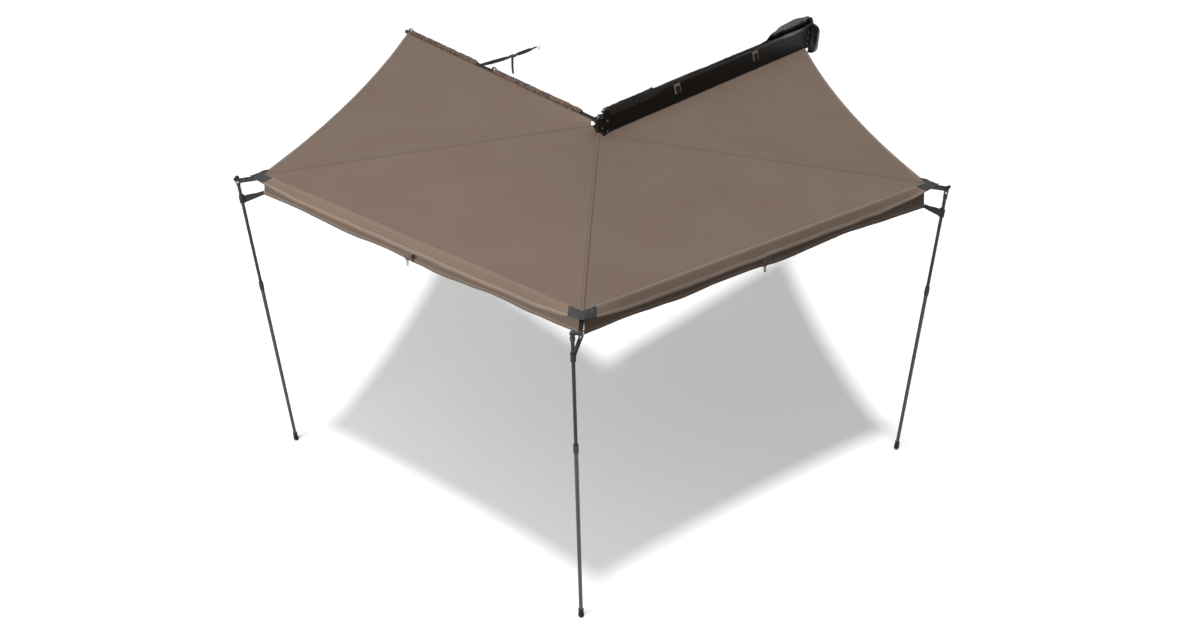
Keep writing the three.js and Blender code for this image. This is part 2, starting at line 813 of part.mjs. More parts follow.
// How far the outer band reaches past the crease at v
function bandOffset(panel, v) {
  const a = edgePoint(panel, 1, -1).setZ(0);
  const b = edgePoint(panel + 1, 1, 1).setZ(0);
  const length = a.distanceTo(b);
  const chord = b.clone().sub(a).normalize();
  const outward = new THREE.Vector3(chord.y, -chord.x, 0);
  if (outward.dot(a) < 0) outward.negate();
  const shoulder = armHalf + armShoulder;
  const pull = new THREE.Vector3();
  const nearA = Math.exp(-Math.max(v * length - shoulder, 0) / flareFade);
  const nearB = Math.exp(-Math.max((1 - v) * length - shoulder, 0) / flareFade);
  const hasA = panel > 0;
  const hasB = panel < armAngles.length - 1;
  if (hasA) pull.addScaledVector(a.clone().normalize(), cornerFlare * nearA);
  if (hasB) pull.addScaledVector(b.clone().normalize(), cornerFlare * nearB);
  if (hasA && hasB) {
    const rest = (1 - nearA) * (1 - nearB);
    pull.addScaledVector(outward, bandOut * rest);
    const fromArm = Math.max(Math.min(v, 1 - v) * length - shoulder, 0);
    pull.z = -bandDrop * (1 - Math.exp(-fromArm / bandSettle));
  }
  return pull;
}

// The grid of a panel: rows down to the crease and over the band, columns close together beside the arms
const panelRows = clothRows + bandRows;
const armColumns = [0, armHalf + armShoulder, (armHalf + armShoulder + patchLeg) / 2, patchLeg];
const panelColumns = clothColumns + 2;

function columnShare(width, j) {
  if (j > panelColumns / 2) return 1 - columnShare(width, panelColumns - j);
  const shoulderShare = armColumns[1] / width;
  const evenShare = lerp(shoulderShare, 1 - shoulderShare, (j - 1) / clothColumns);
  return j < armColumns.length ? Math.min(armColumns[j] / width, Math.max(evenShare, 0)) : evenShare;
}

function gridPoint(panel, i, j) {
  const lapShare = patchLap / (bareArmReach - neckReach);
  const u = i < clothRows ? (i / (clothRows - 1)) * (1 - lapShare) : 1 + (i - clothRows) / bandRows;
  const flat = Math.min(u, 1);
  const width = edgePoint(panel, flat, -1).setZ(0).distanceTo(edgePoint(panel + 1, flat, 1).setZ(0));
  return panelPoint(panel, u, columnShare(width, j));
}

function canopyPanel(panel) {
  return sheet((i, j) => gridPoint(panel, i, j), clothThickness, panelRows, panelColumns);
}

// Valance hanging inside the band, drawn along the arms at its lower corners. u runs down it, s along it.
function valancePoint(panel, u, s) {
  const a = edgePoint(panel, 1, -1).setZ(0);
  const b = edgePoint(panel + 1, 1, 1).setZ(0);
  const endShare = valanceEndInset / a.distanceTo(b);
  const outward = a.clone().add(b).normalize();
  const nearer = (s < halfShare ? a : b).clone().normalize();
  const belly = 4 * s * (1 - s);
  const p = panelPoint(panel, 1, lerp(endShare, 1 - endShare, s));
  const fold = Math.sin(s * Math.PI * 2 * valanceFolds) * valanceFold * u * belly;
  p.addScaledVector(outward, fold - valanceInset);
  p.addScaledVector(nearer, valanceFlare * u * (1 - belly) ** 2);
  p.z -= clothThickness + valanceTopGap + u * (valanceHeight + valanceSag * belly);
  return p;
}

function valance(panel) {
  const place = (i, j) => valancePoint(panel, i / valanceRows, j / valanceColumns);
  return sheet(place, clothThickness, valanceRows, valanceColumns);
}

// Reinforcing patch that wraps the canopy's corner over an arm
function cornerPatch(corner) {
  const legs = armColumns.length - 1;
  const place = (i, j) => {
    const row = clothRows - 1 + i;
    if (j < legs) return gridPoint(corner, row, panelColumns - legs + j);
    if (j > legs) return gridPoint(corner + 1, row, j - legs);
    return gridPoint(corner, row, panelColumns).lerp(gridPoint(corner + 1, row, 0), halfShare);
  };
  return sheet(place, patchThickness, 1 + bandRows, 2 * legs, seatGap + patchThickness);
}

// Pull tab under the band at the middle of an edge
function edgeTab(panel) {
  const root = panelPoint(panel, 2, halfShare);
  const ends = [-tabChordShare, tabChordShare].map((share) => panelPoint(panel, 1, halfShare + share));
  const chord = ends[1].sub(ends[0]).setZ(0).normalize();
  const outward = new THREE.Vector3(root.x, root.y, 0).normalize();
  const outline = new THREE.Shape();
  outline.moveTo(-tabTopWidth / 2, 0);
  outline.lineTo(tabTopWidth / 2, 0);
  outline.lineTo(tabBottomWidth / 2 + tabLean, -tabLength);
  outline.lineTo(tabWebbingWidth / 2 + tabLean, -tabLength);
  outline.lineTo(tabWebbingWidth / 2 + tabLean, -tabLength - tabWebbingLength);
  outline.lineTo(-tabWebbingWidth / 2 + tabLean, -tabLength - tabWebbingLength);
  outline.lineTo(-tabWebbingWidth / 2 + tabLean, -tabLength);
  outline.lineTo(-tabBottomWidth / 2 + tabLean, -tabLength);
  const geometry = new THREE.ExtrudeGeometry(outline, { depth: tabThickness, bevelEnabled: false });
  const upright = new THREE.Vector3(0, 0, 1);
  const basis = new THREE.Matrix4().makeBasis(chord, upright, chord.clone().cross(upright));
  geometry.applyMatrix4(basis);
  const seat = root.addScaledVector(outward, -tabThickness);
  return geometry.translate(seat.x, seat.y, seat.z);
}

// Webbing loop on the pole with a leg to each valance corner, in the arm's frame
function poleStrap(k) {
  const reach = poleReach(k);
  const loopTop = -loopTopDrop;
  const loopBottom = loopTop - loopHeight;
  const ring = upperTubeRadius + seatGap;
  const loop = uprightRod(ring + webbingThickness, loopBottom, loopTop).translate(reach, -poleSideOffset, 0);
  const parts = [loop];
  const corners = [];
  if (k > 0) corners.push(valancePoint(k, 1, 1));
  if (k < poleCount - 1) corners.push(valancePoint(k + 1, 1, 0));
  for (const corner of corners) {
    corner.applyAxisAngle(new THREE.Vector3(0, 0, 1), -armAngles[k] * degree);
    corner.z -= armLevel(k);
    const dx = reach - corner.x;
    const dy = -poleSideOffset - corner.y;
    const span = Math.hypot(dx, dy);
    const start = clothThickness + webbingThickness / 2;
    const leg = new THREE.Shape();
    leg.moveTo(start, corner.z + strapEndWidth);
    leg.lineTo(span, loopTop);
    leg.lineTo(span, loopBottom);
    leg.lineTo(start, corner.z);
    const geometry = new THREE.ExtrudeGeometry(leg, { depth: webbingThickness, bevelEnabled: false });
    geometry.translate(0, 0, -webbingThickness / 2).rotateX(Math.PI / 2);
    geometry.rotateZ(Math.atan2(dy, dx)).translate(corner.x, corner.y, 0);
    parts.push(geometry);
  }
  const bore = uprightRod(ring, loopBottom - strapEndWidth, loopTop + strapEndWidth);
  return cut(join(...parts), bore.translate(reach, -poleSideOffset, 0));
}

// Puckered sleeve over a stretch of the last arm
function armSleeve(x0, x1) {
  const rings = (half, high, pucker) => {
    const stations = Math.max(2, Math.round(((x1 - x0) / sleevePuckerPitch) * 2));
    return Array.from({ length: stations + 1 }, (_, i) => {
      const x = lerp(x0, x1, i / stations);
      const swell = pucker * (i % 2 ? 1 : -1) * (i === 0 || i === stations ? 0 : 1);
      return Array.from({ length: sleeveSides }, (_, j) => {
        const turn = ((j + halfShare) / sleeveSides) * Math.PI * 2;
        return new THREE.Vector3(x, (half + swell) * Math.cos(turn), (high + swell) * Math.sin(turn));
      });
    });
  };
  const outer = loft(rings(sleeveHalfWidth, sleeveHalfHeight, sleevePucker));
  const half = armHalf + sleeveGap;
  return cut(outer, block(x0 - cutOverrun, x1 + cutOverrun, -half, half, -half, half));
}

// Tie strap in the last arm's frame: it leaves the arm sideways towards -Y

const tieReach = innerClipReach + tieBeyondClip;

function tieLine(distance) {
  const share = distance / tieLength;
  return new THREE.Vector3(tieReach, -armHalf - distance, armHalf / 2 - tieSag * 4 * share * (1 - share));
}

function tieStrap() {
  const half = tieWidth / 2;
  const rings = Array.from({ length: tieSteps + 1 }, (_, i) => {
    const c = tieLine(lerp(seatGap, tieLength, i / tieSteps));
    return [
      new THREE.Vector3(c.x - half, c.y, c.z),
      new THREE.Vector3(c.x + half, c.y, c.z),
      new THREE.Vector3(c.x + half, c.y, c.z + tieThickness),
      new THREE.Vector3(c.x - half, c.y, c.z + tieThickness),
    ];
  });
  const wrapOuter = armHalf + seatGap + tieThickness;
  const wrapInner = armHalf + seatGap;
  const innerStart = tieReach - half - cutOverrun;
  const innerEnd = tieReach + half + cutOverrun;
  const wrap = cut(
    block(tieReach - half, tieReach + half, -wrapOuter, wrapOuter, -wrapOuter, wrapOuter),
    block(innerStart, innerEnd, -wrapInner, wrapInner, -wrapInner, wrapInner),
  );
  const buckle = tieLine(tieBuckleAt);
  const bottom = buckle.z - tieTailLength;
  const top = buckle.z + tieThickness / 2;
  const tail = block(buckle.x - half, buckle.x + half, buckle.y - tieThickness, buckle.y, bottom, top);
  return join(loft(rings), wrap, tail);
}

function tieBuckle() {
  const c = tieLine(tieBuckleAt);
  const halfLength = tieBuckleLength / 2;
  const halfWidth = tieBuckleWidth / 2;
  const under = c.z - tieBuckleThickness / 2;
  const over = under + tieBuckleThickness;
  const frame = block(c.x - halfWidth, c.x + halfWidth, c.y - halfLength, c.y + halfLength, under, over);
  const side = tieWidth / 2 + seatGap;
  const play = seatGap + tieSag / 4;
  const reach = halfLength + cutOverrun;
  const slot = block(c.x - side, c.x + side, c.y - reach, c.y + reach, c.z - play, c.z + tieThickness + play);
  const tailFront = c.y - tieThickness - seatGap;
  const tailSlot = block(c.x - side, c.x + side, tailFront, c.y + seatGap, under - cutOverrun, c.z);
  return cut(frame, slot, tailSlot);
}

// Wire hook at the tie strap's end
function tieHook() {
  const c = tieLine(tieLength);
  const y0 = c.y - seatGap;
  const y1 = y0 - tieHookLength;
  const half = tieHookWire / 2;
  const halfWidth = tieHookWidth / 2;
  const middle = c.z + tieThickness / 2;
  const low = middle - tieHookLength / 2;
  const bar = block(c.x - halfWidth, c.x + halfWidth, y0 - tieHookWire, y0, middle - half, middle + half);
  const shank = block(c.x - half, c.x + half, y1, y0 - half, middle - half, middle + half);
  const bend = block(c.x - half, c.x + half, y1, y1 + tieHookWire, low, middle);
  const lip = block(c.x - half, c.x + half, y1, y0 - tieHookLength / 2, low - half, low + half);
  return join(bar, shank, bend, lip);
}

// Soft cover in the board's frame

function coverFlap() {
  const x0 = -boardLength / 2;
  const x1 = pouchStart + pouchLength;
  const base = boardHeight / 2 + seatGap;
  const rings = Array.from({ length: coverStations + 1 }, (_, i) => {
    const share = i / coverStations;
    const x = lerp(x0, x1, share);
    const rise = clamp((x - (x1 - coverLoopLength)) / coverLoopLength, 0, 1);
    const lift = Math.sin(rise * Math.PI * coverPeakShare) * coverLoopHeight;
    const wave = Math.sin(share * Math.PI * 2 * coverRipples) * coverRipple;
    const height = coverHeight + wave * (1 - rise) + lift;
    const halfWidth = coverHalfWidth + wave / 2;
    return Array.from({ length: coverSides }, (_, j) => {
      const turn = ((j + halfShare) / coverSides) * Math.PI * 2;
      const y = -boardDepth / 2 + halfWidth * Math.cos(turn);
      const z = base + (height * (1 + Math.sin(turn))) / 2;
      return new THREE.Vector3(x, y, z);
    });
  });
  return loft(rings);
}

// D-shaped end of the cover: a wall and a rim, open towards the hinge, on a flange at the cap
function pouchOutline(inset) {
  const half = boardHeight / 2 - pouchTuck - inset;
  const rear = pouchWall - boardDepth - inset;
  const front = inset - boardDepth - pouchDepth;
  const corner = pouchCorner - inset;
  const outline = new THREE.Shape();
  outline.moveTo(rear, -half);
  outline.lineTo(rear, half);
  outline.lineTo(front + corner, half);
  outline.absarc(front + corner, half - corner, corner, Math.PI / 2, Math.PI);
  outline.absarc(front + corner, -half + corner, corner, Math.PI, Math.PI * 1.5);
  return outline;
}

function coverPouch() {
  const flange = pouchStart - pouchStandoff;
  const start = pouchStart;
  const end = start + pouchLength;
  const outer = along(pouchOutline(0), start, end, roundSteps);
  const inner = along(pouchOutline(pouchWall), start - cutOverrun, end - pouchWall, roundSteps);
  const half = boardHeight / 2 - pouchTuck;
  const seat = block(flange, start + pouchWall, -boardDepth, pouchWall - boardDepth, -half, half);
  return cut(join(outer, seat), inner);
}

// Retaining strap and buckle on the board's face, both leaning away from the hinge as they go down

function leaning(geometry, x) {
  const top = boardHeight / 2 - retainingTopGap;
  const lean = new THREE.Matrix4().set(1, 0, -retainingLeanShare, 0, 0, 1, 0, 0, 0, 0, 1, 0, 0, 0, 0, 1);
  return geometry.applyMatrix4(lean).translate(x, 0, top);
}

function retainingStrap(x) {
  const front = -boardDepth - seatGap;
  const half = retainingWidth / 2;
  return leaning(block(-half, half, front - retainingThickness, front, -retainingDrop, 0), x);
}

function retainingBuckle(x) {
  const back = -boardDepth - seatGap - retainingThickness - seatGap;
  const outline = roundedOutline(buckleWidth, buckleLength, buckleCorner);
  const windowWidth = buckleWidth - 2 * buckleBar;
  const opening = roundedOutline(windowWidth, buckleWindow, buckleWindow / 3, new THREE.Path());
  const shift = new THREE.Vector2(0, buckleBar + (buckleWindow - buckleLength) / 2);
  outline.holes.push(new THREE.Path(opening.getPoints(bendSteps).map((p) => p.add(shift))));
  const settings = { depth: buckleThickness, bevelEnabled: false, curveSegments: bendSteps };
  const geometry = new THREE.ExtrudeGeometry(outline, settings);
  geometry.rotateX(Math.PI / 2).translate(0, back, -buckleStart - buckleLength / 2);
  return leaning(geometry, x);
}

// Assembly

piece("backing_board", along(boardSection(), -boardLength / 2, boardLength / 2), "board", awning);
piece("board_end_cap", farEndCap(), "plastic", awning);
piece("cover_flap", coverFlap(), "cover", awning);
piece("cover_end_pouch", coverPouch(), "cover", awning);
retainingPlaces.forEach((x, i) => {
  piece(`retaining_strap_${i + 1}`, retainingStrap(x), "tanWebbing", awning);
  piece(`retaining_buckle_${i + 1}`, retainingBuckle(x), "plastic", awning);
});
piece("hinge_bracket", hingeBracket(), "casting", hub);
piece("hinge_pin", hingePin(), "fastener", hub);

armAngles.forEach((angle, k) => {
  const n = k + 1;
  const arm = new THREE.Group();
  arm.position.z = armLevel(k);
  arm.rotation.z = angle * degree;
  hub.add(arm);
  piece(`arm_${n}_knuckle`, knuckle(), "casting", arm);
  const tubeStart = knuckleNeckLength + seatGap;
  if (k === poleCount) {
    piece(`arm_${n}_tube`, squareTube(tubeStart, bareArmReach - bareCapLength - seatGap), "armTube", arm);
    piece(`arm_${n}_tip_clip`, bareArmCap(), "plastic", arm);
    piece(`arm_${n}_inner_clip`, poleClip(innerClipReach), "plastic", arm);
    const innerSleeve = armSleeve(sleeveInnerStart, innerClipReach - sleeveClipGap);
    const outerSleeve = armSleeve(tieReach + sleeveTieGap, bareArmReach - sleeveTipGap);
    piece("arm_sleeve_inner", innerSleeve, "sleeve", arm);
    piece("arm_sleeve_outer", outerSleeve, "sleeve", arm);
    piece("tie_strap", tieStrap(), "webbing", arm);
    piece("tie_buckle", tieBuckle(), "plastic", arm);
    piece("tie_hook", tieHook(), "fastener", arm);
    return;
  }
  const reach = poleReach(k);
  piece(`arm_${n}_tube`, squareTube(tubeStart, reach - tipBlockLength - seatGap), "armTube", arm);
  piece(`arm_${n}_tip`, tipFitting(reach), "casting", arm);
  piece(`pole_${n}_pivot_bolt`, pivotBolt(reach), "fastener", arm);
  piece(`pole_${n}_strap`, poleStrap(k), "webbing", arm);
  const pole = new THREE.Group();
  pole.position.set(reach, -poleSideOffset, 0);
  arm.add(pole);
  piece(`pole_${n}_head`, poleHead(), "casting", pole);
  piece(`pole_${n}_upper_tube`, upperTube(), "poleTube", pole);
  piece(`pole_${n}_lower_tube`, lowerTube(k), "poleTube", pole);
  piece(`pole_${n}_twist_lock`, twistLock(k), "plastic", pole);
  piece(`pole_${n}_foot`, poleFoot(k), "rubber", pole);
});

armAngles.forEach((_, panel) => {
  piece(`canopy_panel_${panel + 1}`, canopyPanel(panel), "canopy", hub);
});
for (let corner = 0; corner < poleCount; corner++) {
  piece(`corner_patch_${corner + 1}`, cornerPatch(corner), "patch", hub);
}
for (let panel = 1; panel < poleCount; panel++) {
  piece(`valance_${panel}`, valance(panel), "canopy", hub);
  piece(`edge_tab_${panel}`, edgeTab(panel), "canopy", hub);
}

export default awning;
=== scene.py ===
from math import atan2, cos, exp, hypot, pi, radians, sin
from collections import Counter
import bpy
from mathutils import Matrix, Vector, noise


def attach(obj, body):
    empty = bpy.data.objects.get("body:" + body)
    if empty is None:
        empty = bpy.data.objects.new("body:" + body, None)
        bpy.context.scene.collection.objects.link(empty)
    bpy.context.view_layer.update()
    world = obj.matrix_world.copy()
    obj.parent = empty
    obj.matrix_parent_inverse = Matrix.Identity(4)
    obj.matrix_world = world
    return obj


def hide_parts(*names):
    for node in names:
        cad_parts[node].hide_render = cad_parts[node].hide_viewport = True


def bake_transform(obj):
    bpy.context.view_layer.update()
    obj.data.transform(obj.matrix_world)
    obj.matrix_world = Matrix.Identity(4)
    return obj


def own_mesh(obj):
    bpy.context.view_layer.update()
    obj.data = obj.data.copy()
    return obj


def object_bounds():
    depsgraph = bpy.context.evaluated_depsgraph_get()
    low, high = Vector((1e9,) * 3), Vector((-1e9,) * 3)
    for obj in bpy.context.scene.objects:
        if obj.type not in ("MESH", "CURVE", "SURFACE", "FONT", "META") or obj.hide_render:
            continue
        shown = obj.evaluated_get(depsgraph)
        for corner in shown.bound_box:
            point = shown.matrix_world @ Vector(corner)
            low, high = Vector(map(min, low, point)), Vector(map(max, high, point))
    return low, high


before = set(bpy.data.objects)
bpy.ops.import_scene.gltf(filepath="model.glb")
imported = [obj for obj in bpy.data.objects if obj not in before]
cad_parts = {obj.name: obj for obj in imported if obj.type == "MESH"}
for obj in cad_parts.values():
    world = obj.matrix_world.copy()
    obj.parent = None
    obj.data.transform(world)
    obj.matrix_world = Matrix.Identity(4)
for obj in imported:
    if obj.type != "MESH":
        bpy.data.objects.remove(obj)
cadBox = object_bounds()
mm = 0.001


# small helpers

def linear(hexColour):
    parts = [int(hexColour[i:i + 2], 16) / 255 for i in (0, 2, 4)]
    return [p / 12.92 if p <= 0.04045 else ((p + 0.055) / 1.055) ** 2.4 for p in parts] + [1]


def mix(a, b, share):
    return a + (b - a) * share


def clamp(value, low=0.0, high=1.0):
    return max(low, min(high, value))


def ease(share):
    share = clamp(share)
    return share * share * (3 - 2 * share)


def levelled(way):
    return Vector((way.x, way.y, 0)).normalized()


def wobble(x, y, z):
    return noise.noise(Vector((x, y, z)))


def connect(tree, node, links):
    for socket, source in links.items():
        if isinstance(source, bpy.types.Node):  # a node given whole lends its first output
            source = source.outputs[0]
        tree.links.new(source, node.inputs[socket])


def addNode(tree, kind, settings=None, links=None):
    node = tree.nodes.new("ShaderNode" + kind)
    for key, value in (settings or {}).items():
        if isinstance(key, str) and key[0].islower():
            setattr(node, key, value)
        else:
            node.inputs[key].default_value = value
    connect(tree, node, links or {})
    return node


def newMaterial(name, settings):
    material = bpy.data.materials.new(name)
    material.use_nodes = True
    tree = material.node_tree
    tree.nodes.clear()
    shader = addNode(tree, "BsdfPrincipled", settings)
    addNode(tree, "OutputMaterial", links={"Surface": shader})
    return material, tree, shader


def addObject(name, data):
    obj = bpy.data.objects.new(name, data)
    bpy.context.scene.collection.objects.link(obj)
    return obj


def meshObject(name, points, faces, material, uvs=None):
    mesh = bpy.data.meshes.new(name)
    mesh.from_pydata([tuple(p) for p in points], [], faces)
    mesh.polygons.foreach_set("use_smooth", [True] * len(mesh.polygons))
    if uvs:
        layer = mesh.uv_layers.new(name="UVMap")
        for loop in mesh.loops:
            layer.data[loop.index].uv = uvs[loop.vertex_index]
    mesh.materials.append(material)
    return addObject(name, mesh)


# cloth over a grid: place says where a row and a column meet, and how far along the cloth that is

def gridCloth(name, rows, columns, place, material, thickness, offset=-1.0, flip=False):
    made = [place(r, c) for r in rows for c in columns]
    wide = len(columns)
    faces = []
    for i in range(len(rows) - 1):
        for j in range(wide - 1):
            a = i * wide + j
            face = (a, a + 1, a + 1 + wide, a + wide)
            faces.append(face[::-1] if flip else face)
    obj = meshObject(name, [m[0] for m in made], faces, material, [m[1] for m in made])
    used = Counter(pair for polygon in obj.data.polygons for pair in polygon.edge_keys)
    for edge in obj.data.edges:
        edge.use_edge_sharp = used[edge.key] == 1  # so the cut edge doesn't round the shading
    solid = obj.modifiers.new("thickness", "SOLIDIFY")
    solid.thickness, solid.offset, solid.use_even_offset = thickness, offset, False
    return obj


def steps(count, start=0.0, end=1.0):
    return [mix(start, end, i / count) for i in range(count + 1)]


# camera: 34 degrees down and 48 degrees round from the board's own line

camera = {
    "place": (-5.2672, -4.4216, 2.8211),
    "down": 34.395,
    "heading": 47.659,
    "roll": -1.381,
    "lens": 32.014,
    "shift": (0.01463, -0.01417),
}


def makeCamera():
    e, h, r = (radians(camera[k]) for k in ("down", "heading", "roll"))
    forward = Vector((cos(h) * cos(e), sin(h) * cos(e), -sin(e)))
    level = Vector((sin(h), -cos(h), 0))
    upright = level.cross(forward)
    right = cos(r) * level + sin(r) * upright
    up = -sin(r) * level + cos(r) * upright
    data = bpy.data.cameras.new("camera")
    data.sensor_width = 36
    data.lens = camera["lens"]
    data.shift_x, data.shift_y = camera["shift"]
    data.clip_start, data.clip_end = 0.1, 100
    obj = addObject("camera", data)
    turn = Matrix((right, up, -forward)).transposed().to_4x4()
    obj.matrix_world = Matrix.Translation(camera["place"]) @ turn
    bpy.context.scene.camera = obj


makeCamera()
print("camera ready")

# where the arms are, in metres and degrees

arms = {
    "hub": Vector((-1.120, -0.053, 0)),
    "levels": [-0.054, -0.018, 0.018, 0.054],
    "turns": [-64, -136, -206, -272.5],
    "half": 0.011,
    "poleReach": [2.074, 2.112, 2.150],
    "poleAside": 0.037,
}


def armFrame(k):
    turn = Matrix.Rotation(radians(arms["turns"][k]), 4, "Z")
    return Matrix.Translation(arms["hub"] + Vector((0, 0, arms["levels"][k]))) @ turn


def onArm(k, x, y, z):
    return armFrame(k) @ Vector((x, y, z))


def armWays(k):  # along the arm, and across it
    a = radians(arms["turns"][k])
    return Vector((cos(a), sin(a), 0)), Vector((-sin(a), cos(a), 0))


# pattern helpers for the materials: a real size in millimetres to a texture's scale

def waveScale(millimetres):
    return 0.31416 / (millimetres * mm)  # at a scale of 1 the wave texture repeats every 0.31416


def noiseScale(millimetres):
    return 1 / (millimetres * mm)


# two sets of threads that cross, as a height from 0 to 1

def weaveHeight(tree, place, millimetres):
    warp, weft = (addNode(tree, "TexWave", {"bands_direction": way, "Scale": waveScale(millimetres),
                                            "Distortion": 0.6, "Detail": 1.0}, {"Vector": place}) for way in "XY")
    return addNode(tree, "Math", {"operation": "MAXIMUM"}, {0: warp.outputs["Fac"], 1: weft.outputs["Fac"]})


# one row of stitches at a distance from an edge, in metres: 1 on a stitch

def stitchRow(tree, across, along, at, halfWidth, pitch):
    off = addNode(tree, "Math", {"operation": "SUBTRACT", 1: at}, {0: across})
    near = addNode(tree, "Math", {"operation": "ABSOLUTE"}, {0: off})
    row = addNode(tree, "MapRange", {"interpolation_type": "SMOOTHSTEP", "From Min": halfWidth,
                                     "From Max": halfWidth * 0.3}, {"Value": near})
    turns = addNode(tree, "Math", {"operation": "MULTIPLY", 1: 2 * pi / pitch}, {0: along})
    beat = addNode(tree, "Math", {"operation": "SINE"}, {0: turns})
    dash = addNode(tree, "MapRange", {"From Min": -0.8, "From Max": -0.2}, {"Value": beat})
    return addNode(tree, "Math", {"operation": "MULTIPLY"}, {0: row, 1: dash})


# colours laid one over another, each by its own share

def layered(tree, colour, layers):
    under = None
    for share, over in layers:
        coat = addNode(tree, "Mix", {"data_type": "RGBA", 6: linear(colour), 7: linear(over)}, {0: share})
        if under is not None:
            connect(tree, coat, {6: under})
        under = coat.outputs[2]
    return under


# the plan of most finishes: a noise takes the colour some way towards a second, and may move the roughness;
# relief is a texture, its settings, and the bump's strength and distance

def noisyFinish(name, settings, colours, pattern, share=None, rough=None, stretch=None, relief=None):
    material, tree, shader = newMaterial(name, settings)
    place = addNode(tree, "TexCoord").outputs["Object"]
    if stretch:
        place = addNode(tree, "Mapping", {"Scale": stretch}, {"Vector": place}).outputs[0]
    blotch = addNode(tree, "TexNoise", pattern, {"Vector": place})
    amount = addNode(tree, "MapRange", share, {"Value": blotch}) if share else blotch
    connect(tree, shader, {"Base Color": layered(tree, colours[0], [(amount, colours[1])])})
    if rough:
        level = addNode(tree, "MapRange", {"To Min": rough[0], "To Max": rough[1]}, {"Value": blotch})
        connect(tree, shader, {"Roughness": level})
    if relief:
        kind, grain, strength, distance = relief
        height = addNode(tree, kind, grain, {"Vector": place})
        bump = addNode(tree, "Bump", {"Strength": strength, "Distance": distance}, {"Height": height})
        connect(tree, shader, {"Normal": bump})
    return material, tree, shader, blotch


# canopy cloth: polyester canvas with a waterproof coating, woven in two slightly different yarns,
# so the eye gets a dry, faintly mottled brown with a low sheen; the hub's edge is bound in a paler tape

canvasLooks = {
    "colour": "7a695d", "mottle": "736155", "wornAndShade": "6a584d", "thread": "918276", "stitch": "463a31",
    "tape": "7d6d61", "wearAndShade": 0.2, "wearAndShadeSize": 9,
    "threadPitch": 6,  # real threads are 0.6 mm apart, drawn ten times coarser so that they show
    "seamRows": [6.5 * mm],
    "hemRows": [4 * mm, 24 * mm],
    "stitchPitch": 9 * mm,  # real stitches are 4 mm long, drawn coarser for the same reason
    "stitchHalf": 2.2 * mm,
}
patchLooks = {"colour": "474647", "mottle": "3e3d3e", "wornAndShade": "323131", "thread": "5d5c5c", "stitch": "2a2929",
              "wearAndShade": 0.3, "wearAndShadeSize": 9}
# on the sleeves the dark colour, laid over up to nine tenths in 30 mm blotches, is painted shade in the gathers'
# folds
sleeveLooks = {"colour": "756257", "mottle": "63524a", "wornAndShade": "33281f", "thread": "93827a", "stitch": "4a3d36",
               "wearAndShade": 0.9, "wearAndShadeSize": 30}


def canvasMaterial(name, seamRows, hemRows, look, tapeFrom=None):
    material, tree, shader = newMaterial(name, {"Roughness": 0.92, "Sheen Weight": 0.02, "Sheen Roughness": 0.5,
                                                "Specular IOR Level": 0.12})
    uv = addNode(tree, "UVMap", {"uv_map": "UVMap"})
    place = addNode(tree, "TexCoord").outputs["Object"]
    split = addNode(tree, "SeparateXYZ", links={0: uv})
    across, along = split.outputs[0], split.outputs[1]
    weave = weaveHeight(tree, uv, canvasLooks["threadPitch"])
    cloudy = addNode(tree, "TexNoise", {"Scale": noiseScale(420), "Detail": 3.0}, {"Vector": place})
    # blotches towards the darker colour: wear on the canopy and the patches, painted shade of the gathers on the
    # sleeves
    fine = addNode(tree, "TexNoise", {"Scale": noiseScale(look["wearAndShadeSize"]), "Detail": 4.0}, {"Vector": place})
    layers = [
        (addNode(tree, "MapRange", {"From Min": 0.35, "From Max": 0.7, "To Max": 0.7}, {"Value": cloudy}), "mottle"),
        (addNode(tree, "MapRange", {"From Min": 0.4, "From Max": 0.65, "To Max": look["wearAndShade"]},
                 {"Value": fine}), "wornAndShade"),
        (addNode(tree, "Math", {"operation": "MULTIPLY", 1: 0.16}, {0: weave}), "thread"),
    ]
    if tapeFrom:
        layers.append((addNode(tree, "Math", {"operation": "GREATER_THAN", 1: tapeFrom}, {0: along}), "tape"))
    # painted highlight: the hem band is drawn lighter, towards the thread colour, as where its folded edges catch the
    # light
    if hemRows:
        folded = addNode(tree, "Math", {"operation": "LESS_THAN", 1: max(hemRows) + 2 * mm}, {0: along})
        layers.append((addNode(tree, "Math", {"operation": "MULTIPLY", 1: 0.6}, {0: folded}), "thread"))
    height = addNode(tree, "Math", {"operation": "MULTIPLY", 1: 0.25}, {0: weave})
    for rows, here, other in ((seamRows, across, along), (hemRows, along, across)):
        for at in rows:
            stitch = stitchRow(tree, here, other, at, canvasLooks["stitchHalf"], canvasLooks["stitchPitch"])
            layers.append((stitch, "stitch"))
            height = addNode(tree, "Math", {"operation": "SUBTRACT"}, {0: height, 1: stitch})
    base = layered(tree, look["colour"], [(share, look[over]) for share, over in layers])
    ripple = addNode(tree, "TexNoise", {"Scale": noiseScale(160), "Detail": 2.0, "Roughness": 0.4}, {"Vector": place})
    soft = addNode(tree, "Bump", {"Strength": 0.25, "Distance": 6 * mm}, {"Height": ripple})
    bump = addNode(tree, "Bump", {"Strength": 0.5, "Distance": 0.6 * mm}, {"Height": height, "Normal": soft})
    connect(tree, shader, {"Base Color": base, "Normal": bump})
    return material


# powder-coated aluminium or steel: black polyester powder baked on, a fine orange peel and a satin gloss

def powderCoat(name, colour, roughness, peelMm):
    return noisyFinish(name, {"Roughness": roughness, "Specular IOR Level": 0.35}, (colour, "262524"),
                       {"Scale": noiseScale(240), "Detail": 5.0}, {"From Min": 0.45, "From Max": 0.8, "To Max": 0.22},
                       (roughness - 0.06, roughness + 0.14),
                       relief=("TexNoise", {"Scale": noiseScale(peelMm), "Detail": 2.0}, 0.2, 0.4 * mm))[0]


# zinc-plated heads: bright metal where bolts or rivets are part of a coated piece, by distance from their axes

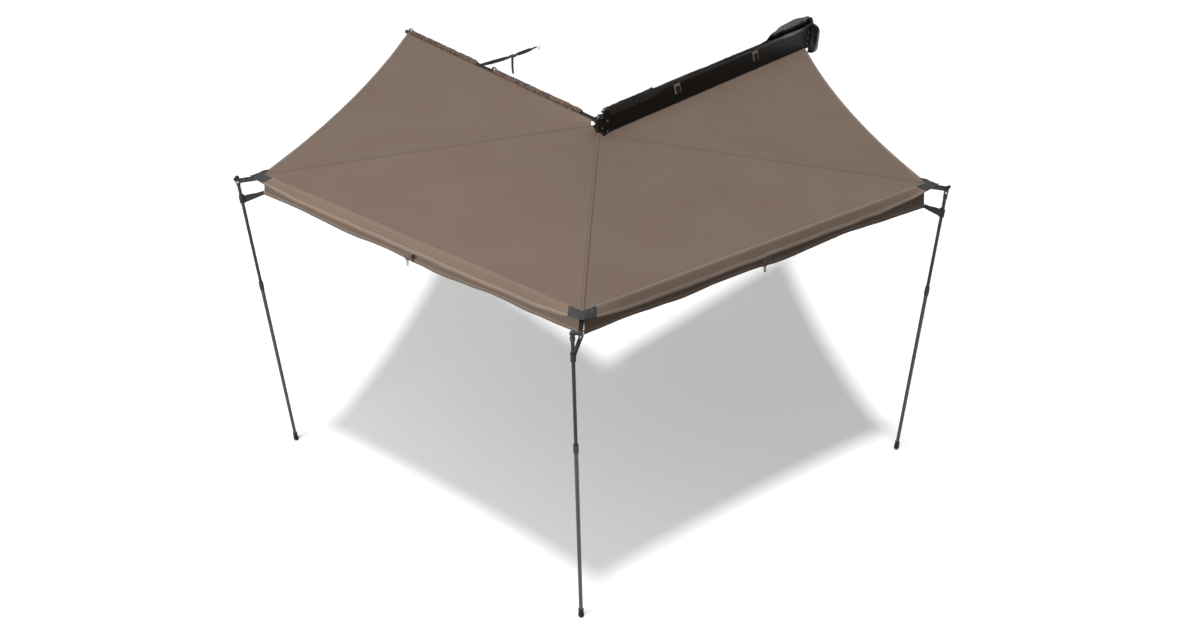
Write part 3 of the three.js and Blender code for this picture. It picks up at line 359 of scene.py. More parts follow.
def metalSpots(material, spots, radius):
    tree = material.node_tree
    shader = next(node for node in tree.nodes if node.type == "BSDF_PRINCIPLED")
    place = addNode(tree, "TexCoord").outputs["Object"]
    flat = addNode(tree, "VectorMath", {"operation": "MULTIPLY", 1: (1, 0, 1)}, {0: place})
    seen = None
    for x, z in spots:
        away = addNode(tree, "VectorMath", {"operation": "DISTANCE", 1: (x, 0, z)}, {0: flat})
        near = addNode(tree, "Math", {"operation": "LESS_THAN", 1: radius}, {0: away.outputs["Value"]})
        seen = near if seen is None else addNode(tree, "Math", {"operation": "MAXIMUM"}, {0: seen, 1: near})
    coat = shader.inputs["Base Color"].links[0].from_socket
    base = addNode(tree, "Mix", {"data_type": "RGBA", 7: linear("d2d1cc")}, {0: seen, 6: coat})
    connect(tree, shader, {"Base Color": base.outputs[2], "Metallic": seen})


# anodised aluminium: drawn tube dyed grey-black, so it keeps a metal's shine with streaks along its length

streak = {"length": 250, "width": 10 / 9}  # real draw lines are finer than 0.1 mm, drawn coarser so that they show


def anodised(name, colour, roughness, direction):
    long, fine = noiseScale(streak["length"]), noiseScale(streak["width"])
    lighter = "%02x%02x%02x" % tuple(min(255, int(colour[i:i + 2], 16) + 40) for i in (0, 2, 4))
    return noisyFinish(name, {"Metallic": 0.85, "Roughness": roughness}, (colour, lighter),
                       {"Scale": 1.0, "Detail": 3.0}, {"From Min": 0.3, "From Max": 0.7, "To Max": 0.35},
                       (roughness - 0.05, roughness + 0.1),
                       {"X": (long, fine, fine), "Z": (fine, fine, long)}[direction])[0]


# moulded nylon: glass-filled and black, with the spark-eroded grain of its mould

def mouldedNylon(name, colour="1d1d1e", roughness=0.45):
    grain = noiseScale(2.2)  # real grain is about 0.1 mm, drawn at 2.2 mm so that it shows
    return noisyFinish(name, {"Roughness": roughness, "Specular IOR Level": 0.45}, (colour, "4a4a4a"),
                       {"Scale": noiseScale(30), "Detail": 4.0}, {"From Min": 0.5, "From Max": 0.8, "To Max": 0.3},
                       relief=("TexVoronoi", {"Scale": grain}, 0.3, 0.3 * mm))[0]


# rubber: moulded and matt, paler where it has rubbed on the ground

def rubber(name):
    scuff = {"Scale": noiseScale(14), "Detail": 6.0}
    return noisyFinish(name, {"Roughness": 0.8, "Specular IOR Level": 0.3}, ("222222", "4c4b49"), scuff,
                       {"From Min": 0.45, "From Max": 0.75, "To Max": 0.5},
                       relief=("TexNoise", scuff, 0.4, 0.5 * mm))[0]


# polyester webbing: narrow woven tape with ribs across it and a flat selvedge

def webbing(name, colour, light):
    material, tree, shader = newMaterial(name, {"Roughness": 0.7, "Sheen Weight": 0.2, "Specular IOR Level": 0.35})
    uv = addNode(tree, "UVMap", {"uv_map": "UVMap"})
    slant = addNode(tree, "Mapping", {"Rotation": (0, 0, radians(55))}, {"Vector": uv})
    rib = waveScale(3)  # real ribs are 1.2 mm apart, drawn at 3 mm so that they show
    twill = addNode(tree, "TexWave", {"Scale": rib, "Distortion": 1.0}, {"Vector": slant})
    ribs = addNode(tree, "TexWave", {"bands_direction": "Y", "Scale": rib}, {"Vector": uv})
    weave = addNode(tree, "Math", {"operation": "MULTIPLY"}, {0: twill.outputs["Fac"], 1: ribs.outputs["Fac"]})
    bump = addNode(tree, "Bump", {"Strength": 0.6, "Distance": 0.5 * mm}, {"Height": weave})
    connect(tree, shader, {"Base Color": layered(tree, colour, [(weave, light)]), "Normal": bump})
    return material


# cover: black PVC on a polyester scrim, glossy with the scrim just showing and sharp highlights on its folds

def coverVinyl(name):
    material, tree, shader, creased = noisyFinish(
        name, {"Roughness": 0.28, "Specular IOR Level": 0.5, "Coat Weight": 0.6, "Coat Roughness": 0.18},
        ("161618", "2f2f32"), {"Scale": noiseScale(60), "Detail": 5.0, "Distortion": 0.8},
        {"From Min": 0.4, "From Max": 0.75, "To Max": 0.35}, (0.24, 0.5))
    uv = addNode(tree, "UVMap", {"uv_map": "UVMap"})
    scrim = weaveHeight(tree, uv, 5)  # real scrim threads are about 1 mm apart, drawn at 5 mm so that they show
    creases = addNode(tree, "Bump", {"Strength": 0.8, "Distance": 6 * mm}, {"Height": creased})
    bump = addNode(tree, "Bump", {"Strength": 0.18, "Distance": 0.3 * mm}, {"Height": scrim, "Normal": creases})
    connect(tree, shader, {"Normal": bump})
    return material


canvasHemmed = canvasMaterial("coatedCanvasHemmed", canvasLooks["seamRows"], canvasLooks["hemRows"],
                              canvasLooks, 1.93)
canvasStrip = canvasMaterial("coatedCanvasFelledSeam", [-7 * mm, 7 * mm], [], canvasLooks)
canvasGathered = canvasMaterial("coatedCanvasGathered", [], [], sleeveLooks)
patchCloth = canvasMaterial("ballisticNylonPatch", [], [], patchLooks)
boardCoat = powderCoat("powderCoatedAluminium", "0e0f11", 0.5, 3)
steelCoat = powderCoat("powderCoatedSteel", "1b1b1c", 0.42, 4)
bracketCoat = powderCoat("powderCoatedSteelWithZincBolts", "1b1b1c", 0.42, 4)
boltPlaces = [(-1.020, -0.054), (-1.063, -0.018), (-1.020, 0.018), (-1.063, 0.054)]
rivetPlaces = [(1.0193, z) for z in (-0.044, 0.0, 0.044)]
metalSpots(bracketCoat, boltPlaces, 6.4 * mm)
armMetal = anodised("anodisedArmTube", "303032", 0.24, "X")
poleMetal = anodised("anodisedPoleTube", "2c2d30", 0.16, "Z")
poleInner = anodised("anodisedLowerTube", "404144", 0.18, "Z")
nylon = mouldedNylon("glassFilledNylon")
rivetedNylon = mouldedNylon("blackNylonEndCapWithRivets", "161617", 0.4)
metalSpots(rivetedNylon, rivetPlaces, 4.4 * mm)
zinc = noisyFinish("zincPlatedSteel", {"Metallic": 1.0, "Roughness": 0.3}, ("a9adb1", "c8cacb"),
                   {"Scale": noiseScale(12), "Detail": 3.0}, rough=(0.2, 0.45))[0]  # blotched by the plating bath
footRubber = rubber("mouldedRubber")
blackWebbing = webbing("blackPolyesterWebbing", "161616", "3a3a3a")
tanWebbing = webbing("tanPolyesterWebbing", "b5a28d", "d3c3af")
vinyl = coverVinyl("pvcCoatedCover")
greyPiping = mouldedNylon("greyVinylPiping", "5a5a5b", 0.5)
print("materials ready")

# the CAD solids that stay take their real finish

finishes = {
    "backing_board": boardCoat, "board_end_cap": rivetedNylon, "hinge_bracket": bracketCoat, "hinge_pin": zinc,
    "retaining_buckle_1": nylon, "retaining_buckle_2": nylon, "tie_buckle": nylon, "tie_hook": zinc,
    "arm_4_tip_clip": nylon, "arm_4_inner_clip": nylon,
}
for k in range(1, 5):
    finishes[f"arm_{k}_knuckle"] = steelCoat
    finishes[f"arm_{k}_tube"] = armMetal
for k in range(1, 4):
    finishes[f"arm_{k}_tip"] = nylon
    finishes[f"pole_{k}_pivot_bolt"] = zinc
    finishes[f"pole_{k}_head"] = nylon
    finishes[f"pole_{k}_upper_tube"] = poleMetal
    finishes[f"pole_{k}_lower_tube"] = poleInner
    finishes[f"pole_{k}_twist_lock"] = nylon
    finishes[f"pole_{k}_foot"] = footRubber
for name, finish in finishes.items():
    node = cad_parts[name]
    node.data.materials.clear()
    node.data.materials.append(finish)

# soft pieces: what each one follows, and the CAD solid that it stands in for

def settle(piece, body=None, replaces=None):
    if body:
        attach(piece, body)
    if replaces:
        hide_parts(replaces)
    return piece


# tie strap: flat webbing from the last arm, held taut towards the hook at its end

tie = {
    "reach": 1.222, "width": 0.025, "thickness": 0.002, "length": 0.470, "sag": 0.009,
    "buckleAt": 0.268, "tail": 0.130, "steps": 64, "lean": 52, "flatPart": 0.030, "gap": 0.0004,
    "wrapGap": 0.0014, "wrapCorner": 0.004,
}


def tiePoint(distance):
    share = distance / tie["length"]
    z = arms["half"] / 2 - tie["sag"] * 4 * share * (1 - share) + tie["thickness"] / 2
    return onArm(3, tie["reach"], -arms["half"] - distance, z)


def ribbon(name, route, sides, width, thickness, material):
    points, uvs, faces = [], [], []
    travelled = 0.0
    quarter = [(-0.5, -0.15), (-0.5, 0.15), (-0.46, 0.5), (0.46, 0.5)]
    profile = quarter + [(-a, -b) for a, b in quarter]  # shares of the width and the thickness
    n = len(profile)
    for i, p in enumerate(route):
        side = sides[i] if isinstance(sides, list) else sides
        ahead = route[min(i + 1, len(route) - 1)] - route[max(i - 1, 0)]
        over = side.cross(ahead).normalized()
        if i:
            travelled += (p - route[i - 1]).length
        for a, b in profile:
            points.append(p + side * (a * width) + over * (b * thickness))
            uvs.append((a * width, travelled))
    for i in range(len(route) - 1):
        for j in range(n):
            a, b = i * n + j, i * n + (j + 1) % n
            faces.append((a, b, b + n, a + n))
    faces.append(tuple(range(n))[::-1])
    faces.append(tuple((len(route) - 1) * n + j for j in range(n)))
    return meshObject(name, points, faces, material, uvs)


def makeTieStrap():
    width, thickness = tie["width"], tie["thickness"]
    side, back = armWays(3)
    distances = steps(tie["steps"], tie["gap"], tie["length"])
    route = [tiePoint(d) for d in distances]
    turned = []
    for d in distances:
        first, last = 0, tie["buckleAt"] - tie["flatPart"]
        if d >= tie["buckleAt"]:
            first, last = tie["buckleAt"] + tie["flatPart"], tie["length"] - tie["flatPart"]
        lean = radians(tie["lean"]) * sin(clamp((d - first) / (last - first)) * pi) ** 0.5
        turned.append(side * cos(lean) + Vector((0, 0, sin(lean))))
    strap = settle(ribbon("tieStrap", route, turned, width, thickness, blackWebbing), "arm_4", "tie_strap")
    at = tiePoint(tie["buckleAt"])
    hang = [at - Vector((0, 0, drop)) + back * (0.001 + 0.006 * sin(drop / tie["tail"] * 2.6))
            for drop in steps(14, 0, tie["tail"])]
    tail = settle(ribbon("tieStrapTail", hang, side, width, thickness, blackWebbing), "arm_4")
    half, corner = arms["half"] + tie["wrapGap"], tie["wrapCorner"]
    ring = []
    for cx, cz, start in ((1, 1, 0), (-1, 1, 90), (-1, -1, 180), (1, -1, 270)):
        for angle in steps(4, start, start + 90):
            a = radians(angle)
            ring.append((cx * (half - corner) + corner * cos(a), cz * (half - corner) + corner * sin(a)))
    around = [onArm(3, tie["reach"], y, z) for y, z in ring + ring[:1]]
    settle(ribbon("tieStrapWrap", around, side, width, thickness, blackWebbing), "arm_4")
    tuple(route[0])
    sum((b - a).length for a, b in zip(route, route[1:]))
    [tuple(p) for p in route]


makeTieStrap()
print("tie strap ready")

# canopy: four gores between the board and the four arms, each in two halves that meet down the middle and ride on the
# arm or board that each is sewn to

canopy = {
    "neck": 0.044, "corners": [1.964, 1.967, 2.012, 2.104], "shoulder": 0.0135, "seat": 0.0129,
    "bareAside": 0.0181, "bareSeat": 0.0018, "thickness": 0.0014,
    "bows": [0.060, 0.040, 0.034, 0.052], "sags": [0.016, 0.030, 0.032, 0.022],
    "bandOut": 0.034, "bandDrop": 0.058, "bandSettle": 0.120, "flare": 0.060, "flareFade": 0.070,
    "rootStart": 0.085, "rootEnd": 2.116, "rootRise": -0.069, "rootLine": 0.0261, "hingeLap": 0.0106,
    "folded": 0.015, "foldKeep": 0.006, "hem": 0.026, "hemLift": 0.0012,
    "run": 1.93, "bandRun": 0.067,  # cloth from the neck to the hem, and down the band
    "pull": 0.0022, "wave": 0.009, "waveLength": 0.085,  # how far corners pull the cloth up, and waves in the band
    "bandRows": [1.12, 1.24, 1.36, 1.48, 1.58, 1.61, 1.7, 1.8, 1.9, 2.0],
}


def edgePoint(edge, u, side):
    if edge == 0:
        x = mix(canopy["rootStart"], canopy["rootEnd"], u)
        lap = canopy["hingeLap"] * (1 - ease((x - 0.126) / 0.030))  # over the hinge's plate and its bolts
        return arms["hub"] + Vector((x, canopy["rootLine"] - lap, canopy["rootRise"]))
    k = edge - 1
    bare = edge == 4
    reach = mix(canopy["neck"], canopy["corners"][k], u)
    aside = canopy["bareAside"] if bare else side * 0.0002
    return onArm(k, reach, aside, canopy["bareSeat"] if bare else canopy["seat"])


def panelEnds(panel, u):
    a, b = edgePoint(panel, u, -1), edgePoint(panel + 1, u, 1)
    return a, b, Vector((b.x - a.x, b.y - a.y)).length


def bandPull(panel, v):
    a, b, length = panelEnds(panel, 1)
    a, b = a - arms["hub"], b - arms["hub"]
    a.z = b.z = 0
    chord = (b - a).normalized()
    outward = Vector((chord.y, -chord.x, 0))
    if outward.dot(a) < 0:
        outward = -outward
    nearA = exp(-max(v * length - canopy["shoulder"], 0) / canopy["flareFade"])
    nearB = exp(-max((1 - v) * length - canopy["shoulder"], 0) / canopy["flareFade"])
    pull = Vector()
    if panel > 0:
        pull += a.normalized() * canopy["flare"] * nearA
    if panel < 3:
        pull += b.normalized() * canopy["flare"] * nearB
    if 0 < panel < 3:
        pull += outward * canopy["bandOut"] * (1 - nearA) * (1 - nearB)
        fromArm = max(min(v, 1 - v) * length - canopy["shoulder"], 0)
        pull.z = -canopy["bandDrop"] * (1 - exp(-fromArm / canopy["bandSettle"]))
    return pull


def panelPoint(panel, u, v, wrinkled=True):
    flat = min(u, 1)
    a, b, width = panelEnds(panel, flat)
    p = a.lerp(b, v)
    fromA = 0 if panel == 0 else canopy["shoulder"]
    fromB = 0 if panel == 3 else canopy["shoulder"]
    share = clamp((v * width - fromA) / max(width - fromA - fromB, 1e-6))
    p.z = mix(a.z, b.z, share)
    belly = 4 * share * (1 - share)
    a1, b1, chord = panelEnds(panel, 1)
    p -= levelled((a1 + b1) / 2 - arms["hub"]) * canopy["bows"][panel] * belly * flat ** 3
    p.z -= canopy["sags"][panel] * belly * flat ** 2
    if wrinkled:
        toEdge = (1 - flat) * canopy["run"]
        near = min(share, 1 - share) * width
        pulls = exp(-toEdge / 0.22) * exp(-near / 0.30) * min(1, near / 0.05)
        p.z += canopy["pull"] * pulls * sin((near / (toEdge + 0.16)) * 26)
    if u > 1:
        pull = bandPull(panel, v)
        p += pull * (u - 1)
        if wrinkled and 0 < panel < 3:
            fromArm = max(min(v, 1 - v) * chord - canopy["shoulder"], 0)
            alive = min(1, fromArm / 0.09) * sin(pi * clamp(u - 1) * 0.62)
            n = wobble(v * chord / canopy["waveLength"], panel * 7.3, (u - 1) * 0.9)
            p += (pull.normalized() * 0.3 + Vector((0, 0, 1))) * n * canopy["wave"] * alive
    return p


# share across the panel at a share of the way from its arm's shoulder to the middle

def halfShare(panel, u, half, part):
    edge = panel if half == "a" else panel + 1
    width = panelEnds(panel, min(u, 1))[2]
    start = 0 if edge in (0, 4) else canopy["shoulder"] / width
    share = mix(start, 0.5, part ** 1.15)
    return share if half == "a" else 1 - share


# each half rides on what it is sewn to

def foldAway(obj, panel, half):
    edge = panel if half == "a" else panel + 1
    if edge == 0:
        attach(obj, "board")
        anchor, axis = arms["hub"] + Vector((0, 0.026, 0)), Vector((0, 1, 0))
    else:
        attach(obj, f"arm_{edge}")
        axis = armWays(edge - 1)[1]
        beside = canopy["bareAside"] if edge == 4 else canopy["folded"]
        anchor = arms["hub"] + axis * (beside if half == "b" else -beside)
    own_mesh(obj)


def makePanelHalf(panel, half):
    banded = 0 < panel < 3
    rows = [r ** 0.9 for r in steps(34, 0, 0.975)] + [0.981, 0.986, 0.9875, 0.9905, 0.9945, 0.9975, 1.0]
    if banded:
        rows += canopy["bandRows"]

    def place(u, part):
        v = halfShare(panel, u, half, part)
        p = panelPoint(panel, u, v)
        length = (panelEnds(panel, 1)[0 if half == "a" else 1] - arms["hub"]).length - canopy["neck"]
        along = (1 - u) * length if u <= 1 else -(u - 1) * canopy["bandRun"]
        toHem = (canopy["bandRun"] + along) if banded else along
        if toHem < canopy["hem"]:
            p.z += canopy["hemLift"]
        across = (v if half == "a" else 1 - v) * panelEnds(panel, min(u, 1))[2]
        return p, (across, along if u <= 1 or not banded else toHem)

    obj = gridCloth(f"canopyGore{panel + 1}{half.upper()}", rows, steps(26), place, canvasHemmed,
                    canopy["thickness"], flip=half == "a")
    foldAway(obj, panel, half)
    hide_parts(f"canopy_panel_{panel + 1}")
    flat = (panelEnds(panel, 1)[2] / 2 + 0.02, 2.03)


# felled seam over an arm: three layers of canvas, raised in the middle, with two rows of stitches

def makeSeam(k):
    profile = [(-13.5, 0), (-10.4, 0.05), (-9.4, 1.0), (0, 1.25), (9.4, 1.0), (10.4, 0.05), (13.5, 0)]
    end = canopy["corners"][k] + canopy["flare"]

    def place(x, part):
        y, z = part
        pucker = (0.25 * sin(x / 0.011) + 0.2 * wobble(x / 0.02, k, 0)) * (z > 0.5)
        return onArm(k, x, y * mm, canopy["seat"] + (z + pucker) * mm), (y * mm, x)

    obj = gridCloth(f"armSeam{k + 1}", steps(90, canopy["neck"], end), profile, place, canvasStrip,
                    canopy["thickness"])
    settle(obj, f"arm_{k + 1}", f"canopy_panel_{k + 1}")


for panel in range(4):
    for half in "ab":
        makePanelHalf(panel, half)
for k in range(3):
    makeSeam(k)
print("canopy ready")

# corner patches: dark ballistic nylon folded over the band at each pole's corner

patch = {"legs": [0.068, 0.082, 0.068], "inside": 0.010, "thickness": 0.0012, "lift": 0.0020,
         "middleHalf": 0.0146, "middleFlat": 0.0100, "middleLift": 0.0028, "crown": 0.0006}


def makePatch(k):
    first = 1 - patch["inside"] / canopy["run"]
    for panel, half in ((k, "b"), (k + 1, "a")):

        def place(u, part):
            taper = mix(1.0, 0.86, clamp(u - 1))
            off = mix(canopy["shoulder"], patch["legs"][k] * taper, part) / panelEnds(panel, min(u, 1))[2]
            p = panelPoint(panel, u, 1 - off if half == "b" else off)
            outward = bandPull(panel, 1 - off if half == "b" else off)
            slope = clamp(-outward.z / max(outward.length, 1e-6)) if u > 1 else 0
            lift = (Vector((0, 0, 1)) + levelled(outward) * slope) * (patch["lift"] + canopy["hemLift"])
            return p + lift, (off * 2, (u - 1) * canopy["bandRun"])

        rows = [first, 1.0, 1.06] + canopy["bandRows"]
        side = "Left" if half == "b" else "Right"
        obj = gridCloth(f"cornerPatch{k + 1}{side}", rows, steps(12), place, patchCloth, patch["thickness"],
                        flip=half == "a")
        foldAway(obj, panel, half)
    start, end = canopy["corners"][k] - patch["inside"], canopy["corners"][k] + canopy["flare"] + 0.003
    half, flat = patch["middleHalf"], patch["middleFlat"]

    def crown(x, y):
        rise = patch["crown"] * (1 - (y / half) ** 2)
        return onArm(k, x, y, canopy["seat"] + patch["middleLift"] + rise), (y, x)

    obj = gridCloth(f"cornerPatch{k + 1}Middle", steps(8, start, end), [-half, -flat, 0, flat, half],
                    crown, patchCloth, patch["thickness"])
    settle(obj, f"arm_{k + 1}", f"corner_patch_{k + 1}")


for k in range(3):
    makePatch(k)
print("patches ready")

# valances: a hung skirt inside the band, with a rolled hem and a few lazy flutes

valance = {"height": 0.116, "sag": 0.026, "inset": 0.007, "endInset": 0.0145, "fold": 0.009, "folds": 3,
           "flare": 0.022, "topGap": 0.0021, "lowEnd": 0.030, "wave": 0.007, "waveLength": 0.13}


def valancePoint(panel, u, s, lively=True):
    a, b, chord = panelEnds(panel, 1)
    endShare = valance["endInset"] / chord
    outward = levelled((a + b) / 2 - arms["hub"])
    nearer = armWays(panel - 1 if s < 0.5 else panel)[0]
    belly = 4 * s * (1 - s)
    p = panelPoint(panel, 1, mix(endShare, 1 - endShare, s), wrinkled=False)
    fold = sin(s * pi * 2 * valance["folds"]) * valance["fold"] * u * belly
    fine = wobble(s * chord / valance["waveLength"], panel * 3.1, u * 0.6) * valance["wave"]
    fine = fine * u * min(1, belly * 3) * lively
    p += outward * (fold + fine - valance["inset"]) + nearer * valance["flare"] * u * (1 - belly) ** 2
    p.z -= valance["topGap"] + u * (valance["height"] + valance["sag"] * belly)
    if panel == 1:
        p.z -= u * valance["lowEnd"] * clamp(1 - s / 0.3) ** 2  # the strap hauls this corner lower
    return p


def makeValanceHalf(panel, half):
    chord = panelEnds(panel, 1)[2]
    obj = gridCloth(f"valance{panel}{half.upper()}", steps(12), steps(60, 0 if half == "a" else 1, 0.5),
                    lambda u, s: (valancePoint(panel, u, s), (s * chord, (1 - u) * valance["height"])),
                    canvasHemmed, canopy["thickness"], flip=half == "a")
    foldAway(obj, panel, half)
    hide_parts(f"valance_{panel}")


for panel in (1, 2):
    for half in "ab":
        makeValanceHalf(panel, half)
print("valances ready")

# pull tabs: a canvas wedge under the band's hem with a webbing tongue

tab = {"top": 0.062, "bottom": 0.026, "length": 0.058, "tongue": 0.034, "tongueWidth": 0.016, "lean": 0.016,
       "lap": 0.012, "thickness": 0.0016, "behind": 0.0035, "tongueBehind": 0.0052, "bulge": 0.004}


def makeTab(panel):
    root = panelPoint(panel, 2, 0.5, wrinkled=False)
    a, b, _ = panelEnds(panel, 1)
    chord, outward = levelled(b - a), levelled(root - arms["hub"])

    def wedge(down, across):
        width = mix(tab["top"], tab["bottom"], ease(down * 0.9) / 0.972)
        shift = tab["lean"] * down + across * width
        bulge = tab["bulge"] * sin(down * pi) * (1 - 4 * across * across)
        return (root + chord * shift - outward * (tab["behind"] - bulge) - Vector((0, 0, tab["length"] * down)),
                (across * width, down * tab["length"]))

    def tongue(down, across):
        shift = tab["lean"] + across * tab["tongueWidth"]
        drop = tab["length"] - tab["lap"] + (tab["tongue"] + tab["lap"]) * down
        back = tab["tongueBehind"] - tab["bulge"] * down * down
        return (root + chord * shift - outward * back - Vector((0, 0, drop)),
                (across * tab["tongueWidth"], down * tab["tongue"]))

    cloth = gridCloth(f"pullTab{panel}", steps(10), steps(8, -0.5, 0.5), wedge, canvasStrip, tab["thickness"], 0)
    foldAway(cloth, panel, "a")
    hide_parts(f"edge_tab_{panel}")
    strip = gridCloth(f"pullTabTongue{panel}", steps(8), steps(2, -0.5, 0.5), tongue, tanWebbing, tab["thickness"], 0)
    foldAway(strip, panel, "a")


for panel in (1, 2):
    makeTab(panel)
print("tabs ready")

# pole straps: black webbing from each valance corner to a wrapped collar on the pole

poleStrap = {"top": -0.112, "height": 0.048, "end": 0.025, "inner": 0.0102, "thickness": 0.0016, "sag": 0.001,
             "overlap": 0.0019, "belly": 0.0008, "pull": 0.0052, "slip": 0.004, "far": 0.0125, "legThickness": 0.0022,
             "cup": 0.004, "wave": 0.0015}


def makePoleStrap(k):
    reach, aside, pole = arms["poleReach"][k], arms["poleAside"], f"pole_{k + 1}"
    inward = armFrame(k).inverted() @ valancePoint(max(k, 1), 1, 1 if k else 0, lively=False)
    pulled = atan2(inward.y + aside, inward.x - reach)

    def collar(drop, turn):
        a = radians(turn)
        r = poleStrap["inner"] + poleStrap["overlap"] * clamp((turn + 30) / 390)
        r += poleStrap["belly"] * sin(drop * pi) ** 2
        r += poleStrap["pull"] * max(0, cos(a - pulled)) ** 2
        slip = poleStrap["slip"] * sin(a * 0.5)
        z = poleStrap["top"] - poleStrap["height"] * drop + slip
        return onArm(k, reach + r * cos(a), -aside + r * sin(a), z), (a * 0.011, z)

    obj = gridCloth(f"poleCollar{k + 1}", steps(8), steps(40, -30, 390), collar, blackWebbing,
                    poleStrap["thickness"], 1.0, flip=True)
    settle(obj, pole, f"pole_{k + 1}_strap")
    ends = ([(k, 1)] if k > 0 else []) + ([(k + 1, 0)] if k < 2 else [])
    for panel, s in ends:
        low = armFrame(k).inverted() @ valancePoint(panel, 1, s, lively=False)
        out = Vector((low.x - reach, low.y + aside, 0)).normalized()
        far = Vector((reach, -aside, 0)) + out * poleStrap["far"]

        def leg(t, part):
            height = mix(poleStrap["end"], poleStrap["height"] * 0.92, ease(t))
            bottom = mix(low.z, poleStrap["top"] - poleStrap["height"] * 0.96, t) - poleStrap["sag"] * 4 * t * (1 - t)
            cup = poleStrap["cup"] * sin(part * pi) * sin(t * pi)
            across = Vector((-out.y, out.x, 0)) * (cup + poleStrap["wave"] * sin(part * 9 + t * 5) * t)
            at = Vector((mix(low.x, far.x, t), mix(low.y, far.y, t), bottom + height * part)) + across
            return armFrame(k) @ at, (height * part, t * 0.09)

        side = "Left" if s else "Right"
        obj = gridCloth(f"poleStrap{k + 1}{side}", steps(16), steps(8), leg, blackWebbing,
                        poleStrap["legThickness"], 0)
        start, end = (armFrame(k) @ Vector((p.x, p.y, mix(low.z, poleStrap["top"], 0.5))) for p in (low, far))
        tuple(start)
        tuple(end)
        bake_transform(obj)
        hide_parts(f"pole_{k + 1}_strap")


for k in range(3):
    makePoleStrap(k)
print("pole straps ready")

# sleeves on the last arm: light canvas gathered round the tube, its folds slanting across it

sleeve = {
    "inner": (0.154, 1.062), "outer": (1.258, 2.092),
    "up": 0.0290, "down": 0.0165, "near": 0.0172, "off": 0.0215, "thickness": 0.0010,
    "closed": (0.0130, 0.0135), "cinch": 0.022, "clear": 0.0124,
    "gatherPitch": 0.0031, "gather": 0.0024, "lump": 0.0030, "sink": 0.0029, "row": 0.0046,
}


def makeSleeve(name, node, first, last):
    def place(x, turn):
        a = radians(turn)
        c, s = cos(a), sin(a)
        ry = sleeve["near"] if c > 0 else sleeve["off"]
        rz = sleeve["up"] if s > 0 else sleeve["down"]
        cinch = clamp(min(x - first, last - x) / sleeve["cinch"]) ** 0.6
        wander = wobble(x / 0.08, c * 0.8, s * 0.8) * 2.4
        gather = sin(x / sleeve["gatherPitch"] + 1.5 * s - 2.2 * c + wander)
        lump = wobble(x / 0.045, c * 0.9 + 5, s * 0.9)
        depth = (sleeve["gather"] * gather + sleeve["lump"] * lump - sleeve["sink"]) * cinch
        y, z = (side * (mix(shut, wide, cinch) + depth)
                for side, shut, wide in zip((c, s), sleeve["closed"], (ry, rz)))
        keep = max(abs(y), abs(z))
        if keep < sleeve["clear"]:  # it never sinks into the tube
            y, z = y * sleeve["clear"] / keep, z * sleeve["clear"] / keep
        return onArm(3, x, y, z), (a * 0.02, x)

    count = int((last - first) / sleeve["row"])
    obj = gridCloth(name, steps(count, first, last), steps(30, -90, 270), place, canvasGathered,
                    sleeve["thickness"], flip=True)
    settle(obj, "arm_4", node)


makeSleeve("sleeveInner", "arm_sleeve_inner", *sleeve["inner"])
makeSleeve("sleeveOuter", "arm_sleeve_outer", *sleeve["outer"])
print("sleeves ready")

# cover: vinyl cloth over the board's top edge; a thin crumpled roll that opens into a scoop towards the far end,
# where it joins the D-shaped end pouch that takes the folded arms

cover = {
    "start": -1.060, "end": 1.064, "face": -0.0268, "closing": 0.034,
    "skirt": [(-1.06, 0.079), (-0.998, 0.079), (-0.985, 0.043), (-0.62, 0.046), (-0.50, 0.070), (1.064, 0.072)],
    "top": 0.0786, "roll": 0.017, "ridge": -0.0125, "thickness": 0.0012, "turnShare": 0.4,
    "creases": (0.0034, 0.0020, 0.0070),  # heights of the long, the short and the sharp ones
    "backRise": [(-1.03, 0), (0.42, 0.001), (0.543, 0.013), (0.63, 0.045), (0.72, 0.070), (0.871, 0.079),
                 (1.01, 0.064), (1.064, 0.044)],
    "frontRise": [(-1.06, 0), (-1.02, 0.006), (-0.80, 0.006), (-0.64, 0.009), (-0.61, 0.016), (-0.59, 0.003),
                  (0.50, 0.001), (0.70, 0.006), (0.90, 0.004), (1.064, 0.010)],
    "pouchStart": 1.050, "pouchEnd": 1.070, "flange": 1.0355, "pouchTop": 0.093, "pouchFoot": -0.118,
    "pouchFront": -0.083, "pouchRear": -0.0255, "pouchCorner": 0.050, "piping": 0.0022,
}


def heightAt(table, x):
    for (x0, y0), (x1, y1) in zip(table, table[1:]):
        if x <= x1:
            return mix(y0, y1, ease((x - x0) / (x1 - x0)))
    return table[-1][1]


def crumple(x, t, seed):
    waves = (wobble(x / 0.16, t * 1.6, seed), wobble(x / 0.045, t * 3.0, seed + 9),
             -abs(wobble(x / 0.075 + t * 1.8, t * 1.2, seed + 21)))
    return sum(height * wave for height, wave in zip(cover["creases"], waves))


# at the hinge's end the roll is sewn shut, so its section shrinks to a small closed end

def drawnIn(x, y, z):
    share = mix(0.22, 1, sin(clamp((x - cover["start"]) / cover["closing"]) * pi / 2))
    foot = (-0.014, cover["top"] + 0.004)
    if z > cover["top"] - 0.004:
        y, z = mix(foot[0], y, share), mix(foot[1], z, share)
    return Vector((x, y, z))


